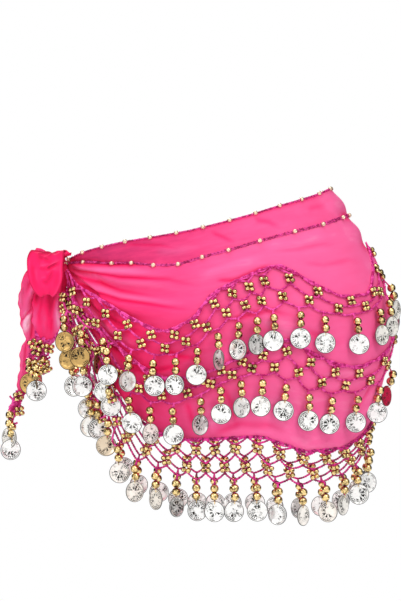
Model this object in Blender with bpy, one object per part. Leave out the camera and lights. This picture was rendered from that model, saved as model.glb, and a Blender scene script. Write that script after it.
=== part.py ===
"""Belly dance hip scarf as it is worn: chiffon wound round the hips and tied in a half bow on one side.

The hollow form follows a stack of tilted ellipses. A place on it is given by `around`, the share
of the girth from the knot across the front and round the back, and `down`, the distance under
the top edge. Three beaded nets hang from the cloth in swags, each with a row of coin pendants.
Every size is in millimetres; the meshes are made in metres.
"""

import math

import bmesh
import bpy
import numpy as np

MM = 0.001
CLOTH = 2.0         # wall of every piece of cloth
SEAM = 0.3          # gap between neighbouring pieces
NET_GAP = 0.7       # net's inner face above the cloth
NET = 1.4           # thickness of the crocheted net
BAR = 1.1           # half width of a net bar, up and down
CROSSING = 1.8      # half width of a net bar where two meet
STRIP = 2.2         # width of the zigzag strip that the pendants hang from
ROOT = 1.5          # half width of a pendant's root
PENDANT_OUT = 6.7   # pendant's middle above the cloth: its beads clear the net below
STAGGER = 0.9       # every other pendant lies this much further out, the rest as much further in

DEPTH_RATIO = 0.703   # front to back over side to side
KNOT_ANGLE = -170.0   # degrees round the hips, 0 at +X and -90 at the front
KNOT_END = 0.012      # around: half the stretch that the knot takes
FADE_IN = 0.075       # around: the gathers reach their full height here

# Hips, one row a ring, top edge first.
# down, centre_x, centre_z, half_width, tilt_degrees
RINGS = (
    (0, 0.0, 0.0, 140.6, 15.5),
    (34, 11.5, -32.0, 153.7, 10.7),
    (62, 18.5, -59.5, 162.0, 9.2),
    (98, 27.5, -95.5, 168.0, 6.8),
    (133, 31.5, -130.5, 168.0, 6.8),
    (175, 31.5, -172.0, 160.0, 6.6),
    (216, 29.5, -213.0, 147.5, 4.9),
    (271, 28.5, -267.5, 136.5, 3.2),
    (340, 27.5, -336.5, 128.0, 2.0),
)

# Hem of the cloth, and the line of the hem net's points.
# around, hem, points
HEM_LINES = (
    (0.012, 24, 70),
    (0.020, 36, 92),
    (0.036, 54, 115),
    (0.060, 85, 152),
    (0.077, 112, 186),
    (0.090, 148, 212),
    (0.107, 175, 230),
    (0.127, 193, 239),
    (0.150, 207, 246),
    (0.180, 214, 255),
    (0.230, 216, 259),
    (0.265, 217, 260),
    (0.295, 225, 265),
    (0.340, 236, 268),
    (0.385, 236, 264),
    (0.430, 226, 252),
    (0.482, 212, 236),
)

# Upper net: the line it is sewn on, and the line of its points.
# around, sewn, points
UPPER_LINES = (
    (0.012, 8, 34),
    (0.020, 17, 46),
    (0.050, 37, 66),
    (0.080, 52, 92),
    (0.100, 65, 109),
    (0.120, 80, 116),
    (0.140, 93, 122),
    (0.160, 101, 126),
    (0.190, 93, 119),
    (0.220, 71, 105),
    (0.250, 62, 96),
    (0.300, 54, 93),
    (0.335, 73, 101),
    (0.370, 89, 107),
    (0.400, 90, 105),
    (0.430, 76, 96),
    (0.460, 55, 86),
    (0.482, 46, 80),
)

# Middle net.
# around, sewn, points
MIDDLE_LINES = (
    (0.012, 14, 52),
    (0.020, 25, 64),
    (0.041, 48, 87),
    (0.055, 62, 105),
    (0.080, 84, 127),
    (0.105, 112, 150),
    (0.136, 137, 171),
    (0.162, 149, 175),
    (0.190, 150, 170),
    (0.220, 142, 159),
    (0.250, 133, 155),
    (0.270, 128, 158),
    (0.296, 124, 166),
    (0.320, 139, 177),
    (0.350, 153, 183),
    (0.385, 160, 185),
    (0.420, 155, 182),
    (0.460, 138, 172),
    (0.482, 126, 164),
)

# Places of the pendants across the front, up to the one at the hip opposite the knot, as `around`.
# The back mirrors them.
UPPER_COLUMNS = (
    0.0489, 0.073, 0.097, 0.120, 0.1455, 0.170, 0.194, 0.219,
    0.2415, 0.2625, 0.281, 0.310, 0.338, 0.377, 0.4165, 0.4485,
)
MIDDLE_COLUMNS = (
    0.041, 0.0665, 0.092, 0.115, 0.137, 0.1635, 0.1955, 0.218,
    0.241, 0.264, 0.291, 0.3205, 0.3525, 0.389, 0.4345,
)
HEM_COLUMNS = (
    0.036, 0.063, 0.089, 0.1105, 0.136, 0.163, 0.188, 0.212,
    0.238, 0.267, 0.297, 0.331, 0.367, 0.3985, 0.4275, 0.4542,
)

# Gathers that run out from the knot: ridges have a height, valleys a negative one.
# level (share of the cloth's depth), height, spread (in level), reach (in around)
FRONT_FOLDS = (
    (0.13, -2.8, 0.045, 0.22),
    (0.20, 3.6, 0.050, 0.26),
    (0.29, -2.4, 0.050, 0.26),
    (0.38, 4.2, 0.050, 0.24),
    (0.46, -3.0, 0.045, 0.21),
    (0.56, 3.8, 0.055, 0.17),
    (0.69, -2.6, 0.060, 0.14),
    (0.81, 3.4, 0.060, 0.12),
)
BACK_FOLDS = (
    (0.13, -2.2, 0.045, 0.18),
    (0.20, 3.2, 0.050, 0.21),
    (0.29, -2.8, 0.050, 0.23),
    (0.38, 3.8, 0.050, 0.27),
    (0.46, -2.2, 0.045, 0.24),
    (0.56, 4.0, 0.055, 0.19),
    (0.69, -3.0, 0.060, 0.16),
    (0.81, 3.2, 0.060, 0.11),
)
CLOTH_LEVELS = (0.0, 0.065, 0.13, 0.20, 0.29, 0.38, 0.46, 0.56, 0.69, 0.81, 0.91, 1.0)
CLOTH_COLUMNS = 60

# The net's rows, as shares of the way from the sewn line to the points.
NET_ROWS = (0.0, 0.28, 0.71, 1.0)
HOLE_TOP = 0.3   # in columns: the upper corners of a hole lie this far from its sides

# Two large beads and a coin, from the root down.
# drop, half_width, half_thickness
PENDANT = (
    (6.5, 3.4, 3.4),
    (17.5, 3.4, 3.4),
    (20.5, 1.3, 0.9),
    (24.0, 8.0, 0.75),
    (30.5, 10.2, 0.75),
    (37.0, 8.0, 0.75),
    (41.0, 3.0, 0.75),
)

# Knot, one row a section along the top edge, from the front end of the cloth to the back end.
# share of its length, middle_down, middle_out, half_height, half_depth
KNOT_SECTIONS = (
    (-1.00, 13.0, -0.6, 15.0, 4.2),
    (-0.70, 11.0, 2.0, 19.0, 7.5),
    (-0.25, 10.5, 4.5, 21.0, 10.5),
    (0.25, 11.0, 4.5, 20.0, 10.5),
    (0.70, 12.0, 2.0, 17.5, 7.5),
    (1.00, 13.0, -0.6, 15.0, 4.2),
)
KNOT_SIDES = 14

# Loop of the bow: a band that leaves the knot, turns at the bottom and comes back.
# share of the way, x, y, z, half_width, crown
LOOP_PATH = (
    (0.00, -139.0, -21.0, -33.0, 7.0, 0.0),
    (0.12, -145.0, -37.0, -29.5, 11.0, 1.5),
    (0.25, -152.0, -52.0, -32.5, 15.0, 3.0),
    (0.38, -154.5, -62.0, -45.0, 17.5, 4.0),
    (0.50, -154.0, -64.5, -60.0, 16.5, 4.0),
    (0.60, -152.5, -60.5, -71.0, 13.0, 2.5),
    (0.70, -151.5, -53.5, -66.5, 13.0, 1.5),
    (0.80, -150.0, -47.5, -55.0, 13.5, 1.0),
    (0.90, -146.0, -37.5, -46.0, 11.0, 0.5),
    (1.00, -139.5, -21.0, -42.0, 7.0, 0.0),
)
LOOP_STEPS = 15
LOOP_COLUMNS = 6

# Short wide tie end.
# z, left_x, right_x, left_y, right_y, ripple
WIDE_TAIL = (
    (-50.0, -147.0, -136.0, -20.0, -22.0, 0.6),
    (-57.0, -157.0, -134.0, -29.0, -40.0, 2.0),
    (-68.0, -165.0, -133.0, -31.0, -46.0, 3.2),
    (-84.0, -168.0, -135.5, -31.0, -46.0, 3.6),
    (-98.0, -168.0, -138.0, -31.0, -45.0, 3.6),
    (-111.0, -166.5, -140.0, -31.0, -44.0, 3.4),
)

# Long tie end: a wide flap beside the knot that narrows to a strip.
# z, left_x, right_x, left_y, right_y, ripple
LONG_TAIL = (
    (-24.5, -162.0, -143.0, -9.0, -10.0, 0.8),
    (-38.0, -169.5, -142.0, -7.0, -9.0, 2.4),
    (-52.0, -177.0, -146.5, -6.0, -6.0, 3.4),
    (-71.0, -180.5, -147.0, -6.0, -6.0, 3.8),
    (-85.0, -181.5, -150.0, -6.0, -8.0, 3.6),
    (-98.0, -178.5, -154.0, -8.0, -10.0, 3.2),
    (-110.0, -176.0, -159.0, -10.0, -12.0, 2.6),
    (-126.0, -179.0, -165.0, -12.0, -14.0, 2.2),
    (-152.0, -181.5, -169.0, -14.0, -15.0, 2.0),
    (-166.0, -182.5, -173.0, -14.0, -15.0, 1.6),
)
TAIL_COLUMNS = 12

# The nets on the tie ends draw together: both ends of their lower line. x, y, z
WIDE_TAIL_POINTS = ((-175.0, -36.0, -137.0), (-152.5, -36.0, -137.0))
LONG_TAIL_POINTS = ((-195.0, -16.0, -197.0), (-180.0, -16.0, -197.0))
TAIL_STAGGER = 2.2


def curve(rows, column, flat_end=False):
    """A smooth curve through one column of a table, read against the first one, that never overshoots."""
    x = np.array([row[0] for row in rows], float)
    y = np.array([row[column] for row in rows], float)
    step = np.diff(y) / np.diff(x)
    slope = np.zeros(len(x))
    turning = step[:-1] * step[1:] <= 0
    total = np.where(turning, 1.0, step[:-1] + step[1:])
    slope[1:-1] = np.where(turning, 0.0, 2 * step[:-1] * step[1:] / total)
    slope[0] = step[0]
    slope[-1] = 0.0 if flat_end else step[-1]

    def at(value):
        value = min(max(value, x[0]), x[-1])
        i = min(int(np.searchsorted(x, value, side="right")) - 1, len(x) - 2)
        width = x[i + 1] - x[i]
        t = (value - x[i]) / width
        return float(
            (2 * t**3 - 3 * t**2 + 1) * y[i]
            + (t**3 - 2 * t**2 + t) * width * slope[i]
            + (3 * t**2 - 2 * t**3) * y[i + 1]
            + (t**3 - t**2) * width * slope[i + 1]
        )

    return at


def smoothstep(start, end, value):
    t = min(max((value - start) / (end - start), 0.0), 1.0)
    return t * t * (3 - 2 * t)


centre_x, centre_z, half_width, tilt = (curve(RINGS, column) for column in (1, 2, 3, 4))
hem_line = curve(HEM_LINES, 1, flat_end=True)

# Arc length round one of the ellipses, which all have the same proportions.
ANGLES = np.radians(KNOT_ANGLE) + np.linspace(0.0, 2 * math.pi, 1441)
SPEED = np.hypot(np.sin(ANGLES), DEPTH_RATIO * np.cos(ANGLES))
ARC = np.concatenate([[0.0], np.cumsum((SPEED[1:] + SPEED[:-1]) / 2 * np.diff(ANGLES))])
SIDE = float(np.interp(0.0, ANGLES, ARC) / ARC[-1])   # around: the hip opposite the knot


def girth(down):
    return ARC[-1] * half_width(down)


def from_knot(around):
    """The same place's share of the girth on the front, so that the back mirrors the front."""
    return max(around if around <= SIDE else 2 * SIDE - around, KNOT_END)


def hip_point(around, down, out=0.0):
    angle = float(np.interp(around % 1.0 * ARC[-1], ARC, ANGLES))
    cosine, sine = math.cos(angle), math.sin(angle)
    length = math.hypot(DEPTH_RATIO * cosine, sine)
    along = half_width(down) * cosine + out * DEPTH_RATIO * cosine / length
    across = DEPTH_RATIO * half_width(down) * sine + out * sine / length
    lean = math.radians(tilt(down))
    return np.array([
        centre_x(down) + along * math.cos(lean), across, centre_z(down) + along * math.sin(lean)
    ])


def facing(around, down):
    """Level directions out from the hips and along them, knot to front."""
    out = hip_point(around, down, 1.0) - hip_point(around, down)
    out = np.array([out[0], out[1], 0.0]) / math.hypot(out[0], out[1])
    return out, np.array([-out[1], out[0], 0.0])


def straight_below(around, down, drop):
    """The place on the hips that lies plumb under another one."""
    start = hip_point(around, down)
    for _ in range(6):
        here = hip_point(around, down)
        down += here[2] - (start[2] - drop)
        around += float((start - here) @ facing(around, down)[1]) / girth(down)
    return around, down


def gather(near, reach):
    """How strong a fold is at a distance from the knot."""
    return smoothstep(KNOT_END, FADE_IN, near) * (1 - smoothstep(0.45 * reach, reach, near))


def fold_height(around, level):
    folds = FRONT_FOLDS if around <= SIDE else BACK_FOLDS
    near = from_knot(around)
    return sum(
        height * math.exp(-(((level - middle) / spread) ** 2)) * gather(near, reach)
        for middle, height, spread, reach in folds
    )


def ridge_height(around):
    """The nets lie on the highest ridge, not in the valleys."""
    folds = FRONT_FOLDS if around <= SIDE else BACK_FOLDS
    near = from_knot(around)
    return max(0.0, *(height * gather(near, reach) for _, height, _, reach in folds))


class Slab:
    """A wall between two offsets of one surface, drawn as flat faces on that surface."""

    def __init__(self, place):
        self.place = place
        self.spots = []
        self.faces = []

    def spot(self, *where):
        self.spots.append(where)
        return len(self.spots) - 1

    def grid(self, rows, columns):
        """Faces over spots that were added row by row."""
        for row in range(rows - 1):
            for column in range(columns - 1):
                corner = row * columns + column
                self.faces.append((corner, corner + columns, corner + columns + 1, corner + 1))

    def fill(self, mesh, inner, outer, left_open=()):
        near = [mesh.verts.new(self.place(*spot, out=inner) * MM) for spot in self.spots]
        far = [mesh.verts.new(self.place(*spot, out=outer) * MM) for spot in self.spots]
        edges = set()
        for face in self.faces:
            mesh.faces.new([far[i] for i in face])
            mesh.faces.new([near[i] for i in reversed(face)])
            edges.update(zip(face, face[1:] + face[:1]))
        for a, b in edges:
            if (b, a) not in edges and (a, b) not in left_open:
                mesh.faces.new([far[b], far[a], near[a], near[b]])
        return near, far


def add_object(name, mesh, material, smooth=False):
    bmesh.ops.recalc_face_normals(mesh, faces=mesh.faces)
    data = bpy.data.meshes.new(name)
    mesh.to_mesh(data)
    mesh.free()
    if smooth:
        data.shade_smooth()
        data.set_sharp_from_angle(angle=math.radians(50))
    data.materials.append(material)
    piece = bpy.data.objects.new(name, data)
    bpy.context.collection.objects.link(piece)
    return piece


def make_material(name, colour, roughness, metallic=0.0):
    material = bpy.data.materials.new(name)
    material.use_nodes = True
    shader = material.node_tree.nodes["Principled BSDF"]
    shader.inputs["Base Color"].default_value = (*colour, 1.0)
    shader.inputs["Roughness"].default_value = roughness
    shader.inputs["Metallic"].default_value = metallic
    material.diffuse_color = (*colour, 1.0)
    return material


def make_hip_wrap(material):
    def place(around, level, out):
        return hip_point(around, level * hem_line(from_knot(around)), out + fold_height(around, level))

    slab = Slab(place)
    half = CLOTH_COLUMNS // 2
    steps = [(SIDE - KNOT_END) * (i / half) ** 1.3 for i in range(half + 1)]
    arounds = [KNOT_END + step for step in steps]
    arounds += [1 - KNOT_END - step * (1 - SIDE - KNOT_END) / (SIDE - KNOT_END) for step in steps[-2::-1]]
    for level in CLOTH_LEVELS:
        for around in arounds:
            slab.spot(around, level)
    slab.grid(len(CLOTH_LEVELS), len(arounds))
    mesh = bmesh.new()
    slab.fill(mesh, -CLOTH, 0.0)
    return add_object("hip_wrap", mesh, material, smooth=True)


class Tier:
    """One net with its pendants on the hips: `column` counts pendants and `level` the net's rows."""

    def __init__(self, name, lines, front, lifts):
        self.name = name
        self.sewn = curve(lines, 1, flat_end=True)
        self.points = curve(lines, 2, flat_end=True)
        self.middle = len(front)
        self.count = 2 * self.middle + 1
        half_pitch = (front[1] - front[0]) / 2
        near = [front[0] - half_pitch, *front]
        self.steps = [-0.5, *range(self.count), self.count - 0.5]
        self.arounds = [*near, SIDE, *(2 * SIDE - around for around in reversed(near))]
        self.lifts = lifts

    def lift(self, near):
        """Near the knot the nets bunch up, and each one lies over those below it."""
        return sum(height * (1 - smoothstep(inner, outer, near)) for height, inner, outer in self.lifts)

    def locate(self, column, level, drop=0.0):
        around = np.interp(column, self.steps, self.arounds)
        near = from_knot(around)
        share = NET_ROWS[level]
        down = self.sewn(near) * (1 - share) + self.points(near) * share + drop
        return around, down, ridge_height(around) + self.lift(near) * share

    def place(self, column, level, side=0.0, drop=0.0, out=0.0):
        around, down, base = self.locate(column, level, drop)
        return hip_point(around + side / girth(down), down, base + out)

    def hang(self, column, drop, half_width, half_thickness):
        """Four corners of a pendant's section, plumb under its point."""
        around, down, _ = self.locate(column, 3)
        base = self.lift(from_knot(around)) + PENDANT_OUT + (STAGGER if column % 2 else -STAGGER)
        around, down = straight_below(around, down, drop)
        middle = hip_point(around, down, base + ridge_height(around))
        out, along = facing(around, down)
        return [
            middle + along * side * half_width + out * face * half_thickness
            for side, face in ((-1, -1), (1, -1), (1, 1), (-1, 1))
        ]


class TailEnd:
    """The net and pendants on a tie end, between the end's lower edge and a lower line of points."""

    def __init__(self, name, count, tail, flare, points):
        self.name = name
        self.count = count
        height, left_x, right_x, left_y, right_y, _ = tail[-1]
        height -= BAR + SEAM
        self.top = [
            np.array([left_x - flare, left_y, height]), np.array([right_x + flare, right_y, height])
        ]
        self.points = [np.array(point) for point in points]

    def place(self, column, level, side=0.0, drop=0.0, out=0.0):
        share = NET_ROWS[level]
        across = (column + 0.5) / self.count
        upper = self.top[0] * (1 - across) + self.top[1] * across
        lower = self.points[0] * (1 - across) + self.points[1] * across
        return upper * (1 - share) + lower * share + np.array([side, -out, -drop])

    def hang(self, column, drop, half_width, half_thickness):
        """The pendants bunch, so each lies further out than the one before."""
        middle = self.place(column, 3, 0.0, drop, PENDANT_OUT + TAIL_STAGGER * column)
        return [
            middle + np.array([side * half_width, -face * half_thickness, 0.0])
            for side, face in ((-1, -1), (1, -1), (1, 1), (-1, 1))
        ]


def make_net(name, place, first, last, seams, material):
    """Crocheted net from one column of crossings to another, one hole between each two columns."""
    slab = Slab(place)
    shift = {first: seams[0] * SEAM / 2, last: -seams[1] * SEAM / 2}
    columns = range(first, last + 1)
    top = {j: slab.spot(j, 0, shift.get(j, 0.0), -BAR) for j in columns}
    notch = {j: slab.spot(j, 1, shift.get(j, 0.0), BAR) for j in columns}
    left, right = {}, {}
    for j in range(first, last):
        middle = slab.spot(j + 0.5, 0, 0.0, -BAR)
        near = slab.spot(j + HOLE_TOP, 0, 0.0, BAR)
        far = slab.spot(j + 1 - HOLE_TOP, 0, 0.0, BAR)
        left[j] = slab.spot(j, 1, CROSSING)
        right[j + 1] = slab.spot(j + 1, 1, -CROSSING)
        bottom = slab.spot(j + 0.5, 2, 0.0, -BAR)
        tip = slab.spot(j + 0.5, 2, 0.0, BAR)
        slab.faces += [
            (top[j], near, middle),
            (middle, near, far),
            (middle, far, top[j + 1]),
            (top[j], left[j], near),
            (top[j + 1], far, right[j + 1]),
            (left[j], notch[j], tip, bottom),
            (bottom, tip, notch[j + 1], right[j + 1]),
        ]
    for j in columns:
        corners = (top[j], right.get(j), notch[j], left.get(j))
        slab.faces.append(tuple(corner for corner in corners if corner is not None))
    mesh = bmesh.new()
    slab.fill(mesh, NET_GAP, NET_GAP + NET)
    return add_object(name, mesh, material)


def make_fringe(name, tier, first, last, seams, material):
    """A zigzag strip under the net's tips, with a pendant fused to each of its points."""
    slab = Slab(tier.place)
    shift = {first: seams[0] * SEAM / 2, last: -seams[1] * SEAM / 2}
    under_tip = BAR + SEAM
    peaks = {
        j: (
            slab.spot(j - 0.5, 2, shift.get(j, 0.0), under_tip),
            slab.spot(j - 0.5, 2, shift.get(j, 0.0), under_tip + STRIP),
        )
        for j in range(first, last + 1)
    }
    roots = {}
    for j in range(first, last):
        valley = slab.spot(j, 3, 0.0, -STRIP)
        roots[j] = (slab.spot(j, 3, -ROOT), slab.spot(j, 3, ROOT))
        slab.faces += [
            (peaks[j][0], peaks[j][1], roots[j][0], valley),
            (valley, *roots[j]),
            (valley, roots[j][1], peaks[j + 1][1], peaks[j + 1][0]),
        ]
    mesh = bmesh.new()
    near, far = slab.fill(mesh, NET_GAP, NET_GAP + NET, left_open=set(roots.values()))
    for j, (a, b) in roots.items():
        ring = [near[a], near[b], far[b], far[a]]
        for section in PENDANT:
            lower = [mesh.verts.new(corner * MM) for corner in tier.hang(j, *section)]
            for i in range(4):
                k = (i + 1) % 4
                mesh.faces.new([ring[i], ring[k], lower[k], lower[i]])
            ring = lower
        mesh.faces.new(ring)
    return add_object(name, mesh, material)


def make_tier(tier, net_material, fringe_material):
    """A net round the hips is two pieces, which meet at the hip opposite the knot."""
    middle, end = tier.middle, tier.count
    make_net(f"{tier.name}_net_front", tier.place, 0, middle, (0, 1), net_material)
    make_net(f"{tier.name}_net_back", tier.place, middle, end - 1, (1, 0), net_material)
    make_fringe(f"{tier.name}_fringe_front", tier, 0, middle, (0, 1), fringe_material)
    make_fringe(f"{tier.name}_fringe_back", tier, middle, end, (1, 0), fringe_material)


def make_tail_end(end, net_material, fringe_material):
    make_net(f"{end.name}_net", end.place, 0, end.count - 1, (0, 0), net_material)
    make_fringe(f"{end.name}_fringe", end, 0, end.count, (0, 0), fringe_material)


def knot_mesh(grow=0.0):
    """The knot's lump between the two ends of the cloth, with a wrap-round ridge."""
    length = KNOT_END - (SEAM - grow) / girth(0)
    mesh = bmesh.new()
    rings = []
    for share, down, out, half_height, half_depth in KNOT_SECTIONS:
        ring = []
        for i in range(KNOT_SIDES):
            angle = 2 * math.pi * i / KNOT_SIDES
            ridge = 1 + 0.07 * (1 - share**2) * math.cos(3 * angle + 2.5 * share)
            place = hip_point(
                share * length,
                down - (half_height + grow) * ridge * math.cos(angle),
                out + (half_depth + grow) * ridge * math.sin(angle),
            )
            ring.append(mesh.verts.new(place * MM))
        rings.append(ring)
    for ring, following in zip(rings, rings[1:]):
        for i in range(KNOT_SIDES):
            k = (i + 1) % KNOT_SIDES
            mesh.faces.new([ring[i], ring[k], following[k], following[i]])
    mesh.faces.new(rings[0])
    mesh.faces.new(rings[-1][::-1])
    return mesh


def make_knot_cutter(material):
    cutter = add_object("knot_cutter", knot_mesh(SEAM), material)
    cutter.hide_render = True
    cutter.display_type = "WIRE"
    return cutter


def trim(piece, cutter):
    cut = piece.modifiers.new("trim_at_knot", "BOOLEAN")
    cut.operation = "DIFFERENCE"
    cut.solver = "EXACT"
    cut.object = cutter


def make_tail(name, rows, waves, material):
    """A hanging tie end with soft pleats down its length."""
    lines = [curve([(-row[0], *row[1:]) for row in rows], column) for column in range(1, 6)]

    def place(height, across, out):
        left_x, right_x, left_y, right_y, ripple = (line(-height) for line in lines)
        pleat = ripple * math.sin(2 * math.pi * waves * across + 0.02 * height)
        return np.array([
            left_x + (right_x - left_x) * across,
            left_y + (right_y - left_y) * across + pleat - out,
            height,
        ])

    slab = Slab(place)
    for row in rows:
        for column in range(TAIL_COLUMNS + 1):
            slab.spot(row[0], column / TAIL_COLUMNS)
    slab.grid(len(rows), TAIL_COLUMNS + 1)
    mesh = bmesh.new()
    slab.fill(mesh, -CLOTH / 2, CLOTH / 2)
    return add_object(name, mesh, material, smooth=True)


def make_bow_loop(material):
    """A band with a crowned middle, narrow where the knot grips it and wide at its belly."""
    lines = [curve(LOOP_PATH, column) for column in range(1, 6)]

    def middle(share):
        return np.array([line(share) for line in lines[:3]])

    def place(share, across, out):
        forward = middle(share + 0.02) - middle(share - 0.02)
        normal = np.cross([1.0, 0.0, 0.0], forward)
        normal /= np.linalg.norm(normal)
        half, crown = lines[3](share), lines[4](share)
        lift = out + crown * math.cos(math.pi / 2 * across)
        return middle(share) + np.array([half * across, 0.0, 0.0]) + normal * lift

    slab = Slab(place)
    for step in range(LOOP_STEPS + 1):
        for column in range(LOOP_COLUMNS + 1):
            slab.spot(step / LOOP_STEPS, 2 * column / LOOP_COLUMNS - 1)
    slab.grid(LOOP_STEPS + 1, LOOP_COLUMNS + 1)
    mesh = bmesh.new()
    slab.fill(mesh, -CLOTH / 2, CLOTH / 2)
    return add_object("bow_loop", mesh, material, smooth=True)


def main():
    for item in list(bpy.data.objects):
        bpy.data.objects.remove(item, do_unlink=True)
    chiffon = make_material("polyester chiffon", (0.90, 0.05, 0.26), 0.75)
    thread = make_material("crocheted thread", (0.70, 0.04, 0.36), 0.65)
    trim_metal = make_material("gilt beads and stamped coins", (0.83, 0.74, 0.50), 0.28, 1.0)

    make_hip_wrap(chiffon)
    add_object("knot", knot_mesh(), chiffon, smooth=True)
    cutter = make_knot_cutter(chiffon)
    trim(make_bow_loop(chiffon), cutter)
    trim(make_tail("wide_tail", WIDE_TAIL, 2.5, chiffon), cutter)
    trim(make_tail("long_tail", LONG_TAIL, 2.0, chiffon), cutter)

    over_middle = (5.5, 0.100, 0.122)   # height, fully up within, down again beyond
    over_hem = (5.5, 0.060, 0.095)
    make_tier(Tier("upper", UPPER_LINES, UPPER_COLUMNS, (over_middle, over_hem)), thread, trim_metal)
    make_tier(Tier("middle", MIDDLE_LINES, MIDDLE_COLUMNS, (over_hem,)), thread, trim_metal)
    make_tier(Tier("hem", HEM_LINES, HEM_COLUMNS, ()), thread, trim_metal)
    make_tail_end(TailEnd("wide_tail", 3, WIDE_TAIL, 0.0, WIDE_TAIL_POINTS), thread, trim_metal)
    make_tail_end(TailEnd("long_tail", 2, LONG_TAIL, 2.5, LONG_TAIL_POINTS), thread, trim_metal)


main()
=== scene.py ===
import math

import bpy
import mathutils
import numpy as np
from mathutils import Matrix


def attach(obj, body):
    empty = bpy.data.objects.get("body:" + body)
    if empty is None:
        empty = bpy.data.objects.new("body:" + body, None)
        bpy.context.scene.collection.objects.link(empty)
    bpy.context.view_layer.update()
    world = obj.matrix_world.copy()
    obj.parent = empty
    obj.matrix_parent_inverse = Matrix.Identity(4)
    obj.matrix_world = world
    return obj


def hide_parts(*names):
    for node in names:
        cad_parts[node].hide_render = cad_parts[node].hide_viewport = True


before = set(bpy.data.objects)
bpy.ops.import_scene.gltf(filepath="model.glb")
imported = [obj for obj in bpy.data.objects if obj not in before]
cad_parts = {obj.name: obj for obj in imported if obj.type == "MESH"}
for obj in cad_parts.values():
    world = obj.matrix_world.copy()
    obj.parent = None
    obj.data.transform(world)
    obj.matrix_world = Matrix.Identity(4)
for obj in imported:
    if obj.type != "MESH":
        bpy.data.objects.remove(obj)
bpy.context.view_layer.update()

mm = 0.001   # tables and functions below are in millimetres, meshes in metres
circle = 2 * math.pi

print("the hips that the scarf lies on")

hips = {
    "depthRatio": 0.703,      # front to back over side to side
    "knotAngle": -170.0,      # degrees round the hips, 0 at +X and -90 at the front
    "knotEnd": 0.012,         # share of the girth: half the stretch that the knot takes
    "fadeIn": 0.075,          # the gathers reach their full height here
    # down, centre x, centre z, half width, tilt in degrees
    "rings": (
        (0, 0, 0, 140.6, 15.5), (34, 11.5, -32, 153.7, 10.7), (62, 18.5, -59.5, 162, 9.2),
        (98, 27.5, -95.5, 168, 6.8), (133, 31.5, -130.5, 168, 6.8), (175, 31.5, -172, 160, 6.6),
        (216, 29.5, -213, 147.5, 4.9), (271, 28.5, -267.5, 136.5, 3.2), (340, 27.5, -336.5, 128, 2),
    ),
}


# a smooth curve through one column of a table that never overshoots
def readTable(rows, column, flatEnd=False):
    x, y = (np.array([row[i] for row in rows], float) for i in (0, column))
    step = np.diff(y) / np.diff(x)
    turning = step[:-1] * step[1:] <= 0
    total = np.where(turning, 1.0, step[:-1] + step[1:])
    between = np.where(turning, 0.0, 2 * step[:-1] * step[1:] / total)
    slope = np.concatenate([step[:1], between, [0.0] if flatEnd else step[-1:]])

    def at(value):
        value = np.clip(value, x[0], x[-1])
        i = np.clip(np.searchsorted(x, value, side="right") - 1, 0, len(x) - 2)
        width = x[i + 1] - x[i]
        t = (value - x[i]) / width
        start = (2 * t**3 - 3 * t**2 + 1) * y[i] + (t**3 - 2 * t**2 + t) * width * slope[i]
        return start + (3 * t**2 - 2 * t**3) * y[i + 1] + (t**3 - t**2) * width * slope[i + 1]

    return at


# tables that run round the hips give the way from the knot in thousandths of the girth
def roundHips(rows, column):
    return readTable([(row[0] / 1000, *row[1:]) for row in rows], column, flatEnd=True)


def ease(start, end, value):
    t = np.clip((value - start) / (end - start), 0.0, 1.0)
    return t * t * (3 - 2 * t)


def fade(start, end, value):
    return 1 - ease(start, end, value)


def hill(value):
    return np.exp(-(value**2))


def unit(vectors):
    return vectors / np.linalg.norm(vectors, axis=-1, keepdims=True)


# how far along a path each of its points is
def distances(path):
    return np.concatenate([[0.0], np.cumsum(np.linalg.norm(np.diff(path, axis=0), axis=1))])


centreX, centreZ, halfWidth, tilt = (readTable(hips["rings"], column) for column in (1, 2, 3, 4))

# distance round an ellipse, which has the same proportions at every height
angles = math.radians(hips["knotAngle"]) + np.linspace(0.0, circle, 1441)
speed = np.hypot(np.sin(angles), hips["depthRatio"] * np.cos(angles))
arcs = np.concatenate([[0.0], np.cumsum((speed[1:] + speed[:-1]) / 2 * np.diff(angles))])
side = float(np.interp(0.0, angles, arcs) / arcs[-1])   # the hip opposite the knot


def girth(down):
    return arcs[-1] * halfWidth(down)


# the back mirrors the front
def fromKnot(around):
    return np.maximum(np.where(around <= side, around, 2 * side - around), hips["knotEnd"])


# around: share of the girth from the knot across the front; down: mm under the top edge
def hipPoint(around, down, out=0.0):
    around, down, out = (np.asarray(value, float) for value in np.broadcast_arrays(around, down, out))
    angle = np.interp(around % 1.0 * arcs[-1], arcs, angles)
    cosine, sine = np.cos(angle), np.sin(angle)
    ratio = hips["depthRatio"]
    length = np.hypot(ratio * cosine, sine)
    along = halfWidth(down) * cosine + out * ratio * cosine / length
    across = ratio * halfWidth(down) * sine + out * sine / length
    lean = np.radians(tilt(down))
    return np.stack(
        [centreX(down) + along * np.cos(lean), across, centreZ(down) + along * np.sin(lean)], axis=-1
    )


# level directions out from the hips and along them, knot to front
def facing(around, down):
    out = hipPoint(around, down, 1.0) - hipPoint(around, down)
    out[..., 2] = 0.0
    out = unit(out)
    return out, np.stack([-out[..., 1], out[..., 0], 0 * out[..., 0]], axis=-1)


# the place on the hips plumb under another one
def straightBelow(around, down, drop):
    start = hipPoint(around, down)
    for _ in range(6):
        here = hipPoint(around, down)
        down = down + here[..., 2] - (start[..., 2] - drop)
        along = facing(around, down)[1]
        around = around + np.sum((start - here) * along, axis=-1) / girth(down)
    return around, down


print("workshop functions")


def linearColour(code):
    parts = [int(code[i:i + 2], 16) / 255 for i in (1, 3, 5)]
    return (*(part / 12.92 if part <= 0.04045 else ((part + 0.055) / 1.055) ** 2.4 for part in parts), 1.0)


# values or sockets for the inputs of a node
def feedNode(tree, node, links):
    for key, value in links.items():
        if isinstance(value, bpy.types.NodeSocket):
            tree.links.new(value, node.inputs[key])
        else:
            node.inputs[key].default_value = value


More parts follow.
